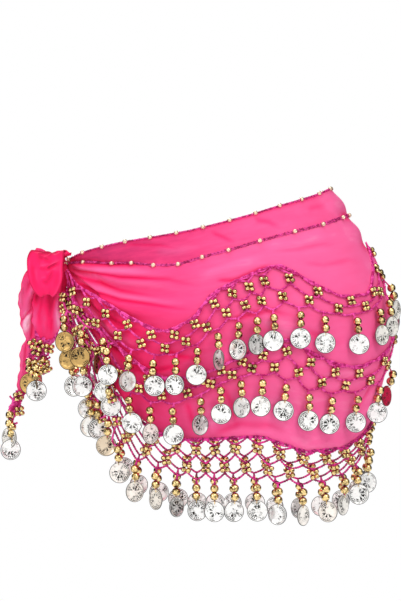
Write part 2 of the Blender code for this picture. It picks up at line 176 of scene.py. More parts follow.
# one node: settings are its own properties, links go to its inputs, stops are a ramp's colours
def addNode(tree, kind, settings=None, links=None, stops=()):
    node = tree.nodes.new("ShaderNode" + kind)
    for key, value in (settings or {}).items():
        setattr(node, key, value)
    feedNode(tree, node, links or {})
    for place, code in stops:
        ramp = node.color_ramp.elements
        stop = ramp[0] if place == 0 else ramp[-1] if place == 1 else ramp.new(place)
        stop.color = linearColour(code)
    return node.outputs


def startMaterial(name):
    material = bpy.data.materials.new(name)
    material.use_nodes = True
    return material, material.node_tree, material.node_tree.nodes["Principled BSDF"]


def newObject(name, data):
    made = bpy.data.objects.new(name, data)
    bpy.context.collection.objects.link(made)
    return made


def pick(piece):
    bpy.ops.object.select_all(action="DESELECT")
    piece.select_set(True)
    bpy.context.view_layer.objects.active = piece


# a shape to model from: add is the operator that makes it
def startShape(name, add, **settings):
    bpy.ops.object.select_all(action="DESELECT")
    add(**settings)
    piece = bpy.context.object
    piece.name = piece.data.name = name
    return piece


def readValues(items, key, kind=float, width=1):
    values = np.empty(len(items) * width, kind)
    items.foreach_get(key, values)
    return values.reshape(-1, width) if width > 1 else values


def readPoints(mesh):
    return readValues(mesh.vertices, "co", width=3)


def writePoints(mesh, points):
    mesh.vertices.foreach_set("co", np.ascontiguousarray(points).ravel())
    mesh.update()


def addValues(mesh, key, values):
    mesh.attributes.new(key, "FLOAT", "POINT").data.foreach_set("value", values)


# where each vertex is on the flat cut
def writeCut(mesh, cut):
    corners = readValues(mesh.loops, "vertex_index", int)
    mesh.uv_layers.active.data.foreach_set("uv", cut[corners].ravel())


# every finished piece: its material, a slot name that is not used, and the nodes it stands for, which it
# hides
def finishPiece(piece, material, slotName, *nodes):
    piece.data.materials.clear()
    piece.data.materials.append(material)
    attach(piece, "root")
    if nodes:
        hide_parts(*nodes)
    return piece


# a thin sheet from a flat grid: surface(share, level) places it in mm, depth gives its colour depth with
# painted shade and painted light, the optional second function marks the dusky turned-down band
def makeSheet(name, look, surface, depth, doubledAndShaded=None):
    columns, rows = look["grid"]
    piece = startShape(
        name, bpy.ops.mesh.primitive_grid_add, x_subdivisions=columns, y_subdivisions=rows, size=2.0
    )
    flat = readPoints(piece.data)
    share, level = (flat[:, 0] + 1) / 2, (1 - flat[:, 1]) / 2
    writePoints(piece.data, surface(share, level) * mm)
    addValues(piece.data, "depthAndShade", depth(share, level))
    if doubledAndShaded:
        addValues(piece.data, "doubledAndShaded", doubledAndShaded(share, level))
    writeCut(piece.data, np.stack([share * look["size"][0], -level * look["size"][1]], axis=1) * mm)
    wall = piece.modifiers.new("wall", "SOLIDIFY")
    wall.thickness, wall.offset, wall.use_even_offset = look["thickness"] * mm, 0.0, False
    pick(piece)
    bpy.ops.object.modifier_apply(modifier=wall.name)
    bpy.ops.object.shade_smooth()
    return finishPiece(piece, chiffon, "chiffon", *look["nodes"])


# thread tubes: every path is an array of points in mm
def makeThreads(name, paths, radius):
    data = bpy.data.curves.new(name, "CURVE")
    data.dimensions = "3D"
    data.bevel_depth, data.bevel_resolution, data.use_fill_caps = radius * mm, 0, True
    for path in paths:
        spline = data.splines.new("POLY")
        spline.points.add(len(path) - 1)
        spline.points.foreach_set("co", np.c_[np.asarray(path) * mm, np.ones(len(path))].ravel())
    pick(newObject(name, data))
    bpy.ops.object.convert(target="MESH")
    piece = bpy.context.object
    piece.data.name = name
    bpy.ops.object.shade_smooth()
    return piece


# copies of one modelled pattern, joined: turns are 3 x 3 matrices, places in mm
def strewCopies(name, pattern, places, turns, values=None):
    source, count = pattern.data, len(places)
    corners, loops = readPoints(source), readValues(source.loops, "vertex_index", int)
    starts = readValues(source.polygons, "loop_start", int)
    smooth = readValues(source.polygons, "use_smooth", bool)
    flat = readValues(source.uv_layers.active.data, "uv", width=2)
    points = np.einsum("kij,nj->kni", np.asarray(turns), corners) + np.asarray(places)[:, None] * mm
    mesh = bpy.data.meshes.new(name)
    mesh.vertices.add(count * len(corners))
    mesh.loops.add(count * len(loops))
    mesh.polygons.add(count * len(starts))
    shift = np.arange(count)[:, None]
    for items, key, made in (
        (mesh.vertices, "co", points),
        (mesh.loops, "vertex_index", loops + shift * len(corners)),
        (mesh.polygons, "loop_start", starts + shift * len(loops)),
        (mesh.polygons, "use_smooth", np.tile(smooth, count)),
    ):
        items.foreach_set(key, made.ravel())
    mesh.uv_layers.new(name="UVMap").data.foreach_set("uv", np.tile(flat.ravel(), count))
    for key, value in (values or {}).items():
        addValues(mesh, key, np.repeat(np.asarray(value, float), len(corners)))
    mesh.update(calc_edges=True)
    mesh.validate()
    return newObject(name, mesh)


print("materials")

# polyester chiffon: woven from hard-twisted yarn, so it is matt with a dry crepe and a soft sheen;
# where it lies double or is gathered it looks deeper and redder, and its colour carries painted shade and
# painted light too
chiffonLook = {
    # depth of the cloth and painted shade, from a single layer with painted light showing through it to the
    # painted shade at the bottom of a gather
    "shades": ((-0.4, "#FDBAD6"), (0.0, "#F3629B"), (0.42, "#F1417F"), (0.80, "#F51A61"), (1.2, "#BE0641")),
    "crepe": 1.6,          # mm between crinkles, drawn coarser than the real 0.4 mm
    "slub": 9.0,           # mm between soft uneven streaks along the weft
    "slubDepth": 0.28,
    "roughness": 0.82,
    "turnedDown": "#A82C62",   # dusky where the edge is turned down: both layers show, with painted shade over them
}


def makeChiffon(look):
    material, tree, shader = startMaterial("polyester chiffon")
    shallow, deepest = look["shades"][0][0], look["shades"][-1][0]
    cut = addNode(tree, "TexCoord")["UV"]
    # the depth attribute holds the cloth's own depth together with painted shade and painted light; the
    # ramp turns it into colour
    depthAndShade, doubledAndShaded = (
        addNode(tree, "Attribute", {"attribute_name": key})["Fac"] for key in ("depthAndShade", "doubledAndShaded")
    )
    stretched = addNode(tree, "Mapping", None, {"Vector": cut, "Scale": (0.24, 1.0, 1.0)})[0]
    slub = addNode(tree, "TexNoise", None, {
        "Vector": stretched, "Scale": 1000 / look["slub"], "Detail": 3.0, "Roughness": 0.6,
    })["Fac"]
    uneven = addNode(tree, "Math", {"operation": "MULTIPLY_ADD"}, {
        0: slub, 1: look["slubDepth"], 2: depthAndShade,
    })[0]
    shade = addNode(tree, "MapRange", None, {
        "Value": uneven,
        "From Min": shallow + look["slubDepth"] / 2, "From Max": deepest + look["slubDepth"] / 2,
    })[0]
    colour = addNode(tree, "ValToRGB", None, {"Fac": shade}, [
        ((place - shallow) / (deepest - shallow), code) for place, code in look["shades"]
    ])["Color"]
    crepe = addNode(tree, "TexNoise", None, {
        "Vector": cut, "Scale": 1000 / look["crepe"], "Detail": 2.0, "Roughness": 0.65,
    })["Fac"]
    relief = addNode(tree, "Bump", None, {"Height": crepe, "Strength": 0.35, "Distance": 0.0004})[0]
    # painted shade on the turned-down band, in patches along the slub
    bandShade = addNode(tree, "Math", {"operation": "MULTIPLY"}, {0: doubledAndShaded, 1: slub})[0]
    shown = addNode(tree, "Mix", {"data_type": "RGBA"}, {
        "Factor": bandShade, "A": colour, "B": linearColour(look["turnedDown"]),
    })["Result"]
    feedNode(tree, shader, {"Base Color": shown, "Normal": relief, "Roughness": look["roughness"]})
    shader.inputs["Specular IOR Level"].default_value = 0.2
    shader.inputs["Sheen Weight"].default_value = 0.22
    shader.inputs["Sheen Roughness"].default_value = 0.4
    shader.inputs["Sheen Tint"].default_value = linearColour("#FF9CC4")
    return material


# nylon crochet thread: two shiny plies, an orchid pink bluer than the cloth, with painted shade between its
# stitches
threadLook = {
    "stitch": 1.9, "roughness": 0.5,
    # raised colour and painted shade in the hollows, in lit and shaded copies of one thread: on the cloth,
    # on the edgings, and darker where no bright cloth lies behind it
    "sewn": ("#FA56B4", "#BC1668"),
    "edging": ("#F04CA4", "#A4185A"),
    "free": ("#EA369A", "#860E4A"),
}


def makeThread(name, look, colours):
    material, tree, shader = startMaterial(name)
    place = addNode(tree, "TexCoord")["Object"]
    fibre = addNode(tree, "TexNoise", None, {
        "Vector": place, "Scale": 1000 / look["stitch"] / 2, "Detail": 2.0, "Roughness": 0.6,
    })["Fac"]
    # painted shade in the hollows between the stitches
    raised = addNode(tree, "MapRange", None, {"Value": fibre, "From Min": 0.40, "From Max": 0.60})[0]
    colour = addNode(tree, "Mix", {"data_type": "RGBA"}, {
        "Factor": raised, "A": linearColour(colours[1]), "B": linearColour(colours[0]),
    })["Result"]
    relief = addNode(tree, "Bump", None, {"Height": fibre, "Strength": 0.4, "Distance": 0.0002})[0]
    feedNode(tree, shader, {"Base Color": colour, "Normal": relief, "Roughness": look["roughness"]})
    shader.inputs["Specular IOR Level"].default_value = 0.25
    return material


# vacuum-metallised acrylic beads: a thin mirror of gold under clear lacquer; dark patches all over stand
# for worn metallising and for painted shade
beadLook = {"gold": "#F8DC9A", "worn": "#3E2404", "mottle": 3.2, "roughness": 0.05}


def makeBeadGold(look):
    material, tree, shader = startMaterial("metallised acrylic beads")
    place = addNode(tree, "TexCoord")["Object"]
    mottle = addNode(tree, "TexNoise", None, {
        "Vector": place, "Scale": 1000 / look["mottle"], "Detail": 3.0, "Roughness": 0.6,
    })["Fac"]
    # dark patches: partly wear, partly painted shade for the dark outlines and crevices
    rubbedAndShaded = addNode(tree, "MapRange", None, {
        "Value": mottle, "From Min": 0.44, "From Max": 0.64, "To Min": 0.0, "To Max": 0.9,
    })[0]
    colour = addNode(tree, "Mix", {"data_type": "RGBA"}, {
        "Factor": rubbedAndShaded, "A": linearColour(look["gold"]), "B": linearColour(look["worn"]),
    })["Result"]
    gloss = addNode(tree, "MapRange", None, {
        "Value": mottle, "To Min": look["roughness"], "To Max": look["roughness"] + 0.14,
    })[0]
    feedNode(tree, shader, {"Base Color": colour, "Roughness": gloss, "Metallic": 1.0})
    return material


# stamped aluminium coins: bright raised work, blackened hollows; a few are satin ivory or gilt, and the
# reddest are a flat red that paints the reflection of the pink cloth in shade.
# The coin's own flat coordinates run from -1 to 1, its attributes are set for each coin
coinLook = {
    # how warm: plain, satin ivory, gilt, and a flat red that is a painted reflection of the cloth in shade
    "finishes": ((0.0, "#FFFFFD"), (0.3, "#FFFBF4"), (0.6, "#D0AA68"), (1.0, "#C81E48")),
    "metal": 0.8, "satin": (0.3, 0.07), "satinMetal": 0.15,
    "hollow": "#1E1D1B",
    "edge": 0.935,                # the cut edge is dark from here out
    "groove": (0.84, 0.035),      # line inside the rim: radius and half width
    "ringOfDots": (0.70, 0.06), "dots": 22,
    "petals": 8, "petalBand": (0.38, 0.18),   # radius and half width too
    "worn": 0.455,                # how much of the blackening is rubbed off
    # noise for the leafwork and for the rubbing: shift of the seed, scale, detail, distortion
    "noises": (("leaves", 3.0, 3.9, 1.0, 1.2), ("rubbing", 7.0, 1.3, 2.0, 0.0)),
}


def makeCoinMetal(look):
    material, tree, shader = startMaterial("stamped aluminium coins")
    flat = addNode(tree, "TexCoord")["UV"]
    split = addNode(tree, "SeparateXYZ", None, {"Vector": flat})
    made = {"x": split["X"], "y": split["Y"]}
    made["radius"] = addNode(tree, "VectorMath", {"operation": "LENGTH"}, {0: flat})["Value"]
    for key in ("seed", "warm"):
        made[key] = addNode(tree, "Attribute", {"attribute_name": key})["Fac"]
    for key, shift, scale, detail, distortion in look["noises"]:
        start = addNode(tree, "Math", {"operation": "ADD"}, {0: made["seed"], 1: shift})[0]
        made[key] = addNode(tree, "TexNoise", {"noise_dimensions": "4D"}, {
            "Vector": flat, "W": start, "Scale": scale, "Detail": detail, "Roughness": 0.6,
            "Distortion": distortion,
        })["Fac"]
    # what each step is called, its operation, and numbers or earlier steps
    for key, operation, *values in (
        ("angle", "ARCTAN2", "y", "x"),
        ("groove", "COMPARE", "radius", *look["groove"]),
        ("turning", "MULTIPLY", "angle", look["dots"]), ("wave", "SINE", "turning"),
        ("gaps", "LESS_THAN", "wave", -0.1),
        ("ring", "COMPARE", "radius", *look["ringOfDots"]), ("dots", "MULTIPLY", "ring", "gaps"),
        ("lobes", "MULTIPLY", "angle", look["petals"]), ("lobe", "COSINE", "lobes"),
        ("tip", "MULTIPLY_ADD", "radius", 1.6, -0.75), ("wedge", "LESS_THAN", "lobe", "tip"),
        ("band", "COMPARE", "radius", *look["petalBand"]), ("petals", "MULTIPLY", "wedge", "band"),
        ("chased", "COMPARE", "leaves", 0.5, 0.03), ("field", "LESS_THAN", "radius", 0.78),
        ("leafwork", "MULTIPLY", "chased", "field"),
        ("lines", "MAXIMUM", "groove", "dots"), ("flower", "MAXIMUM", "petals", "leafwork"),
        ("stamped", "MAXIMUM", "lines", "flower"),
        ("left", "SUBTRACT", "rubbing", look["worn"]), ("steep", "MULTIPLY", "left", 9.0),
        ("floored", "MAXIMUM", "steep", 0.0), ("blackened", "MINIMUM", "floored", 1.0),
        ("hollows", "MULTIPLY", "stamped", "blackened"),
        ("rim", "GREATER_THAN", "radius", look["edge"]), ("edge", "MULTIPLY", "rim", 0.85),
        ("dark", "MAXIMUM", "hollows", "edge"), ("gloss", "MULTIPLY_ADD", "dark", 0.30, 0.30),
        ("satin", "COMPARE", "warm", *look["satin"]),
        # not metal where warm is red: there the colour paints the cloth's reflection in shade
        ("dulled", "MULTIPLY", "satin", 1 - look["satinMetal"]), ("unreddened", "LESS_THAN", "warm", 0.8),
        ("bare", "SUBTRACT", "unreddened", "dulled"), ("metal", "MULTIPLY", "bare", look["metal"]),
    ):
        made[key] = addNode(tree, "Math", {"operation": operation}, {
            i: made.get(value, value) for i, value in enumerate(values)
        })[0]
    finish = addNode(tree, "ValToRGB", None, {"Fac": made["warm"]}, look["finishes"])["Color"]
    colour = addNode(tree, "Mix", {"data_type": "RGBA"}, {
        "Factor": made["dark"], "A": finish, "B": linearColour(look["hollow"]),
    })["Result"]
    relief = addNode(tree, "Bump", {"invert": True}, {
        "Height": made["stamped"], "Strength": 0.5, "Distance": 0.0004,
    })[0]
    feedNode(tree, shader, {
        "Base Color": colour, "Normal": relief, "Roughness": made["gloss"], "Metallic": made["metal"],
    })
    return material


# pearl-lacquered beads of the edgings: pale pink-gold with a clear coat
def makePearl():
    material, tree, shader = startMaterial("pearl lacquered acrylic beads")
    place = addNode(tree, "TexCoord")["Object"]
    bloom = addNode(tree, "TexNoise", None, {"Vector": place, "Scale": 600.0, "Detail": 2.0})["Fac"]
    colour = addNode(tree, "Mix", {"data_type": "RGBA"}, {
        "Factor": bloom, "A": linearColour("#FFE9D9"), "B": linearColour("#DDB98A"),
    })["Result"]
    feedNode(tree, shader, {"Base Color": colour, "Metallic": 0.55, "Roughness": 0.2})
    shader.inputs["Coat Weight"].default_value = 0.6
    return material


chiffon = makeChiffon(chiffonLook)
# lit and shaded copies of one thread: brightest on the cloth, darkest hanging free
thread = makeThread("nylon crochet thread", threadLook, threadLook["sewn"])
edgingThread = makeThread("nylon edging thread", threadLook, threadLook["edging"])
freeThread = makeThread("nylon crochet thread hanging free", threadLook, threadLook["free"])
beadGold = makeBeadGold(beadLook)
coinMetal = makeCoinMetal(coinLook)
pearl = makePearl()


print("chiffon wound round the hips")

wrap = {
    "size": (880.0, 250.0),   # mm round the hips, and down to the lowest point of the hem
    "grid": (372, 124),
    "thickness": 0.7,
    "under": -0.8,            # mm that the cloth lies closer to the hips than the nets' own surface
    "nodes": ("hip_wrap",),
    "creaseStrength": 1.5,
    "rolled": (0.5, 0.4, 140.0),     # height of the rolled top edge and hem, how narrow they are
    "pucker": (0.35, 62, 5.0),       # along the stitched line: height, times round the hips, reach
    # how much deeper it looks, with painted shade and light: at all, gathered (more layers and painted
    # shade), close to the knot, painted shade in its lee, painted light low down, where it is double,
    # painted shade and highlight for each mm of a crease, and along its rim
    "shade": {
        "plain": 0.08, "gathered": 0.56, "atKnot": 0.12, "lee": 0.18, "low": -0.16, "double": 0.12,
        "crease": -0.28, "rim": 0.5,
    },
    # around, hem, points of the hem net
    "hem": (
        (12, 24, 70), (20, 36, 92), (36, 54, 115), (60, 85, 152), (77, 112, 186), (90, 148, 212),
        (107, 175, 230), (127, 193, 239), (150, 207, 246), (180, 214, 255), (230, 216, 259),
        (265, 217, 260), (295, 225, 265), (340, 236, 268), (385, 236, 264), (430, 226, 252),
        (482, 212, 236),
    ),
    # gathers from the knot: level, height, spread, reach
    "frontFolds": (
        (0.13, -2.8, 0.045, 0.22), (0.2, 3.6, 0.05, 0.26), (0.29, -2.4, 0.05, 0.26),
        (0.38, 4.2, 0.05, 0.24), (0.46, -3, 0.045, 0.21), (0.56, 3.8, 0.055, 0.17),
        (0.69, -2.6, 0.06, 0.14), (0.81, 3.4, 0.06, 0.12),
    ),
    "backFolds": (
        (0.13, -2.2, 0.045, 0.18), (0.2, 3.2, 0.05, 0.21), (0.29, -2.8, 0.05, 0.23),
        (0.38, 3.8, 0.05, 0.27), (0.46, -2.2, 0.045, 0.24), (0.56, 4, 0.055, 0.19), (0.69, -3, 0.06, 0.16),
        (0.81, 3.2, 0.06, 0.11),
    ),
    # rise of the top edge: around, mm
    "rise": (
        (12, 1.5), (34, 3.6), (68, 5), (96, 4.6), (121, 3.6), (156, 0.9), (178, -0.9), (200, -2.6),
        (222, -3.9), (277, -4.6), (300, -4.6), (335, -3.7), (374, -3.3), (404, -2.5), (423, -1.5), (449, 0),
        (482, 0),
    ),
    # stitched line under the top edge, where the edge is turned down double: around, down
    "turning": (
        (12, 4.4), (60, 12), (101, 20.6), (130, 25), (159, 32), (189, 35.7), (219, 33), (252, 31),
        (293, 28), (341, 26), (386, 24.7), (432, 22.8), (482, 22),
    ),
    # creases: height, width, then around and down of each place it runs through
    "frontCreases": (
        (-1.5, 2.5, 14, 4, 60, 12.5, 101, 22, 130, 27, 165, 35),
        (1.3, 4, 16, 9, 60, 19, 110, 30, 160, 41, 185, 46),
        (-1.2, 1.9, 20, 13, 77, 27, 114, 38, 173, 49.5, 221, 67),
        (0.9, 3.6, 28, 17, 80, 33, 115, 44, 150, 51, 200, 66),
        (-0.9, 1.9, 28, 20, 85, 41, 112, 53, 142, 61.4, 171, 70),
        (1.1, 4, 30, 25, 77, 44, 112, 58, 160, 71, 195, 79),
        (-1.4, 2, 30, 29, 77, 48, 112, 62.5, 146, 71.5, 179, 81.2, 212, 87),
        (-1.1, 2.2, 26, 24, 60, 52, 90, 78, 120, 97, 150, 106),
        (1.2, 4, 28, 30, 60, 62, 85, 88, 115, 108, 150, 119),
        (-1, 2.1, 25, 30, 55, 70, 85, 105, 120, 132, 165, 139),
        (1, 4, 24, 33, 50, 72, 75, 104, 105, 137, 140, 156),
        (-1.2, 2.5, 24, 36, 45, 66, 68, 96, 95, 140, 120, 172),
        (-0.8, 1.9, 118, 8, 132, 5, 172, 11, 202, 22), (0.7, 4.8, 160, 17, 190, 21, 225, 19),
        (-0.8, 2.5, 240, 6, 252, 15, 266, 27), (-0.7, 3.1, 300, 4, 318, 12, 330, 22),
        (-1.3, 1.6, 226, 58.5, 240, 60.5, 256, 62, 272, 65),
        (-1.1, 1.6, 246, 61, 262, 58.5, 284, 54.5, 303, 51.5), (0.8, 4, 205, 54, 230, 50, 262, 47, 295, 44),
        (-0.9, 3.1, 176, 172, 182, 190, 190, 212), (0.9, 4.8, 192, 168, 202, 188, 214, 214),
        (-0.9, 2.8, 215, 160, 232, 184, 240, 212), (-0.9, 2.5, 112, 133, 137, 141, 166, 137, 185, 130),
        (-0.8, 2.5, 151, 118, 170, 128, 200, 134), (0.9, 5.6, 262, 96, 290, 112, 330, 122),
        (-0.8, 3.7, 305, 112, 335, 128, 360, 138), (-1, 2.5, 228, 101, 250, 96, 275, 94, 312, 103),
        (-0.9, 3.7, 201, 212, 242, 203, 285, 208, 320, 222), (1, 6.4, 330, 200, 370, 214, 410, 206),
        (-1, 3.7, 372, 226, 405, 205, 430, 170, 440, 140),
        (1.1, 6.4, 405, 228, 432, 196, 450, 150, 456, 110),
        (-1, 3.7, 440, 214, 460, 170, 468, 120, 466, 80), (-0.5, 2, 300, 40, 335, 43, 370, 42, 400, 46),
        (-0.5, 2.2, 330, 56, 360, 61, 400, 60, 430, 66), (0.5, 5, 290, 34, 330, 36, 380, 33, 420, 38),
        (-0.5, 2, 375, 12, 390, 9, 415, 10, 440, 7),
    ),
    # soft waves of the cloth over the hip opposite the knot, the same in front and behind
    "sideCreases": (
        (3.4, 8, 400, 9, 450, 11, 482, 12.5, 560, 12.5), (-2.2, 6, 420, 22, 460, 23, 482, 24.5, 540, 24.5),
        (2.2, 8, 410, 38, 450, 35, 482, 33.5, 560, 33.5), (-1.6, 7, 430, 52, 460, 49, 482, 47, 540, 47),
        (1.8, 9, 420, 70, 450, 67, 482, 64, 560, 64),
    ),
    # the back is gathered a little differently, and seen from behind the knot is on the right
    "backCreases": (
        (-1.4, 2.5, 14, 4, 55, 13, 96, 22, 140, 29), (1.2, 4.4, 18, 9, 65, 20, 120, 33, 175, 41),
        (-1.3, 2.1, 20, 14, 70, 29, 120, 42, 180, 50, 235, 64), (1.1, 4, 26, 19, 80, 37, 130, 52, 190, 61),
        (-1.2, 2.1, 28, 24, 75, 47, 115, 63, 165, 75, 205, 86), (1, 4, 28, 29, 60, 58, 95, 86, 140, 105),
        (-1.2, 2.2, 25, 32, 50, 66, 80, 99, 115, 124, 160, 137),
        (1.1, 4, 24, 34, 45, 70, 70, 104, 98, 138, 130, 160), (-1, 2.6, 24, 38, 40, 68, 62, 98, 88, 144),
        (-0.8, 2.5, 190, 6, 205, 16, 215, 28), (-0.8, 3.1, 330, 3, 345, 14, 352, 24),
        (-1.2, 1.9, 205, 62, 235, 60, 262, 64, 285, 60), (0.9, 4.8, 180, 55, 225, 48, 280, 45),
        (-1, 3.1, 165, 168, 176, 192, 188, 214), (1, 4.8, 196, 166, 212, 190, 226, 214),
        (-0.9, 3.1, 236, 158, 250, 186, 256, 212), (-0.9, 2.5, 130, 138, 160, 143, 195, 133),
        (0.9, 5.6, 270, 98, 305, 116, 345, 124), (-0.9, 3.7, 290, 110, 330, 130, 372, 136),
        (-0.9, 3.7, 230, 208, 275, 202, 325, 218), (1, 6.4, 345, 196, 385, 212, 420, 200),
        (-1, 3.7, 385, 222, 412, 196, 430, 150), (1.1, 6.4, 415, 222, 440, 186, 452, 130),
        (-1.1, 3.7, 446, 208, 462, 160, 466, 100, 460, 46), (0.9, 7.2, 400, 30, 415, 62, 412, 96),
        (-0.8, 5, 350, 36, 362, 60, 358, 84),
    ),
}

hemLine, riseLine, turningLine = (roundHips(wrap[key], 1) for key in ("hem", "rise", "turning"))


# how strong a gather is at a distance from the knot
def gather(near, reach):
    return ease(hips["knotEnd"], hips["fadeIn"], near) * fade(0.45 * reach, reach, near)


def foldHeight(around, level):
    near = fromKnot(around)
    return np.where(around <= side, *(
        sum(
            height * hill((level - middle) / spread) * gather(near, reach)
            for middle, height, spread, reach in wrap[key]
        ) for key in ("frontFolds", "backFolds")
    ))


# the nets lie on the highest ridge, not in the valleys
def ridgeHeight(around):
    near = fromKnot(around)
    return np.where(around <= side, *(
        np.max([0 * near, *(height * gather(near, reach) for _, height, _, reach in wrap[key])], axis=0)
        for key in ("frontFolds", "backFolds")
    ))


# creases laid on one by one, strongest a third of the way along and gone at both ends;
# step is the length in mm of one unit of a stop's first number
def creaseHeight(place, creases, step=1.0):
    total = np.zeros(len(place))
    for height, width, *stops in creases:
        stops = np.reshape(stops, (-1, 2)) * (step, 1.0)
        runs = distances(stops)
        nearest, share = np.full(len(place), 1e9), np.zeros(len(place))
        for start, end, before, after in zip(stops, stops[1:], runs, runs[1:]):
            t = np.clip((place - start) @ (end - start) / ((end - start) @ (end - start)), 0.0, 1.0)
            away = np.linalg.norm(place - start - t[:, None] * (end - start), axis=1)
            closer = away < nearest
            nearest = np.where(closer, away, nearest)
            share = np.where(closer, (before + t * (after - before)) / runs[-1], share)
        total += height * hill(nearest / width) * ease(0.0, 0.25, share) * fade(0.55, 1.0, share)
    return total


def wrapCreases(around, down):
    length = wrap["size"][0]
    place = np.stack([fromKnot(around) * length, down], axis=-1)
    front, back, both = (
        creaseHeight(place, wrap[key], length / 1000)
        for key in ("frontCreases", "backCreases", "sideCreases")
    )
    return wrap["creaseStrength"] * np.where(around <= side, front, back) + both


# around, how far that is from the knot, and down; columns stand closer together near the knot
def wrapPlace(share, level):
    front, knotEnd = 2 * share <= 1.0, hips["knotEnd"]
    away = (side - knotEnd) * (2 * np.where(front, share, 1 - share)) ** 1.2
    around = np.where(front, knotEnd + away, 1 - knotEnd - away * (1 - side - knotEnd) / (side - knotEnd))
    near = fromKnot(around)
    return around, near, level * hemLine(near)


# the stretched top edge bows up near the knot and sags over the belly
def topRise(near, down=0.0):
    return riseLine(near) * fade(0.0, turningLine(near) + 8.0, down)


def wrapSurface(share, level):
    around, near, down = wrapPlace(share, level)
    topRoll, hemRoll, narrow = wrap["rolled"]
    rolled = topRoll * hill(level * narrow) + hemRoll * hill((1 - level) * narrow)
    height, times, reach = wrap["pucker"]
    pucker = height * np.sin(around * circle * times) * hill((down - turningLine(near)) / reach)
    out = foldHeight(around, level) + wrapCreases(around, down) + rolled + pucker + wrap["under"]
    surface = hipPoint(around, down, out)
    surface[:, 2] += topRise(near, down)
    return surface


# the band between the top edge and the stitched line
def turnedDown(near, down):
    return fade(-1.0, 1.5, down - turningLine(near)) * ease(0.015, 0.06, near)


# the turned-down band: two layers with painted shade, fading away from the knot
def wrapDoubledAndShaded(share, level):
    _, near, down = wrapPlace(share, level)
    return turnedDown(near, down) * (1 - 0.9 * ease(0.08, 0.32, near))


# deeper where the cloth is gathered or turned down double; painted shade in its creases and in the lee of
# the knot, painted highlight on crease ridges, painted light low down
def wrapDepthAndShade(share, level):
    around, near, down = wrapPlace(share, level)
    shade = wrap["shade"]
    gathered = shade["gathered"] * fade(0.02, 0.34, near)
    atKnot = shade["atKnot"] * fade(0.0, 0.10, near)
    lee = shade["lee"] * ease(30.0, 110.0, down) * fade(0.10, 0.26, near)
    low = shade["low"] * ease(140.0, 190.0, down)
    double = shade["double"] * turnedDown(near, down) * ease(0.08, 0.18, near)
    shadedCreases = shade["crease"] * wrapCreases(around, down)
    rim = shade["rim"] * hill(down / 2.0)
    return np.clip(shade["plain"] + gathered + atKnot + lee + low + double + shadedCreases + rim, 0.0, 1.25)


hipCloth = makeSheet("hipCloth", wrap, wrapSurface, wrapDepthAndShade, wrapDoubledAndShaded)

print("bow loop, tie ends and knot")

# a band that leaves the knot, turns at the bottom and comes back
bow = {
    "size": (104.0, 36.0), "grid": (150, 56), "thickness": 0.8, "nodes": ("bow_loop",),
    # how much deeper it looks: at all, gathered (more layers and painted shade), painted shade and
    # highlight of its creases, painted light through its single-layer edges, painted shade inside the loop,
    # and along its rim
    "shade": {
        "plain": 0.76, "gathered": 0.34, "crease": -0.16, "lightThroughEdge": -0.30, "inside": 0.25, "rim": 0.5,
    },
    # share of the way, x, y, z, half width, crown
    "path": (
        (0, -139, -21, -33, 7, 0.5), (0.12, -145.5, -37, -27.5, 13, 3), (0.22, -151, -50, -28, 16.5, 5),
        (0.32, -153, -58, -36.5, 17.8, 6.5), (0.42, -153.2, -62.5, -48.5, 17.6, 7),
        (0.48, -152.8, -63.6, -56, 16.2, 7), (0.53, -152.2, -63.4, -62.5, 13.6, 6.5),
        (0.57, -151.6, -61.6, -67.6, 10.2, 5.5), (0.605, -151.2, -58.4, -70.8, 6.2, 4),
        (0.64, -151, -54.6, -70.4, 4.6, 2), (0.7, -151, -51, -64, 6, 1), (0.84, -149.5, -44.5, -51, 9, 1),
        (0.92, -145.5, -36, -45.5, 9, 0.5), (1, -139.5, -21, -42, 7, 0),
    ),
    # gathers along the band: place across it, height, spread, reach from the knot
    "gathers": (
        (-0.8, 1.6, 0.12, 0.36), (-0.45, -1.7, 0.11, 0.4), (-0.14, 1.9, 0.12, 0.34),
        (0.2, -1.8, 0.11, 0.36), (0.5, 1.7, 0.12, 0.33), (0.8, -1.3, 0.1, 0.3),
    ),
    # creases on its face: height, width, then x and z of each place they run through
    "creases": (
        (-1.6, 1.7, -161, -33, -156, -31.5, -152, -33, -147.5, -36.5),
        (1.3, 2, -160, -38.5, -156.5, -39, -152, -38, -149, -39),
        (-1.4, 1.6, -159.5, -42, -155, -43, -150.5, -41),
        (-2.6, 1.5, -153, -44.5, -147.5, -41, -143, -39.5, -135, -38.5),
        (1.6, 1.8, -151, -40.5, -146.5, -37.5, -142, -36, -136, -34.5),
        (1.4, 2.2, -152.5, -47.5, -147, -45, -141, -42.5, -136.5, -41),
        (-1.4, 2.6, -144, -43, -147, -50, -152, -56, -156, -59),
        (0.8, 2.4, -150.5, -50, -154.5, -53, -158.5, -51),
        (-0.8, 2, -156.5, -52.5, -154, -56.5, -149.5, -59),
        (-0.9, 2.2, -166, -37, -167, -46, -164, -58, -160, -66),
        (0.7, 2.6, -163, -42, -163, -52, -160, -62), (-0.8, 2.4, -139.5, -45, -140.5, -55, -144, -65),
    ),
}
*bowAxes, bowHalf, bowCrown = (readTable(bow["path"], column) for column in range(1, 6))


def bowMiddle(share):
    return np.stack([axis(share) for axis in bowAxes], axis=-1)


# gathers from the knot, and creases across the face
def bowFolds(share, across):
    ends = np.minimum(share, 1 - share)
    gathers = sum(
        height * hill((across - middle) / spread) * fade(0.3 * reach, reach, ends)
        for middle, height, spread, reach in bow["gathers"]
    )
    place = bowMiddle(share)[:, [0, 2]] + np.stack([bowHalf(share) * across, 0 * across], axis=-1)
    creases = creaseHeight(place, bow["creases"])
    return gathers + creases * ease(0.08, 0.20, share) * fade(0.58, 0.66, share)


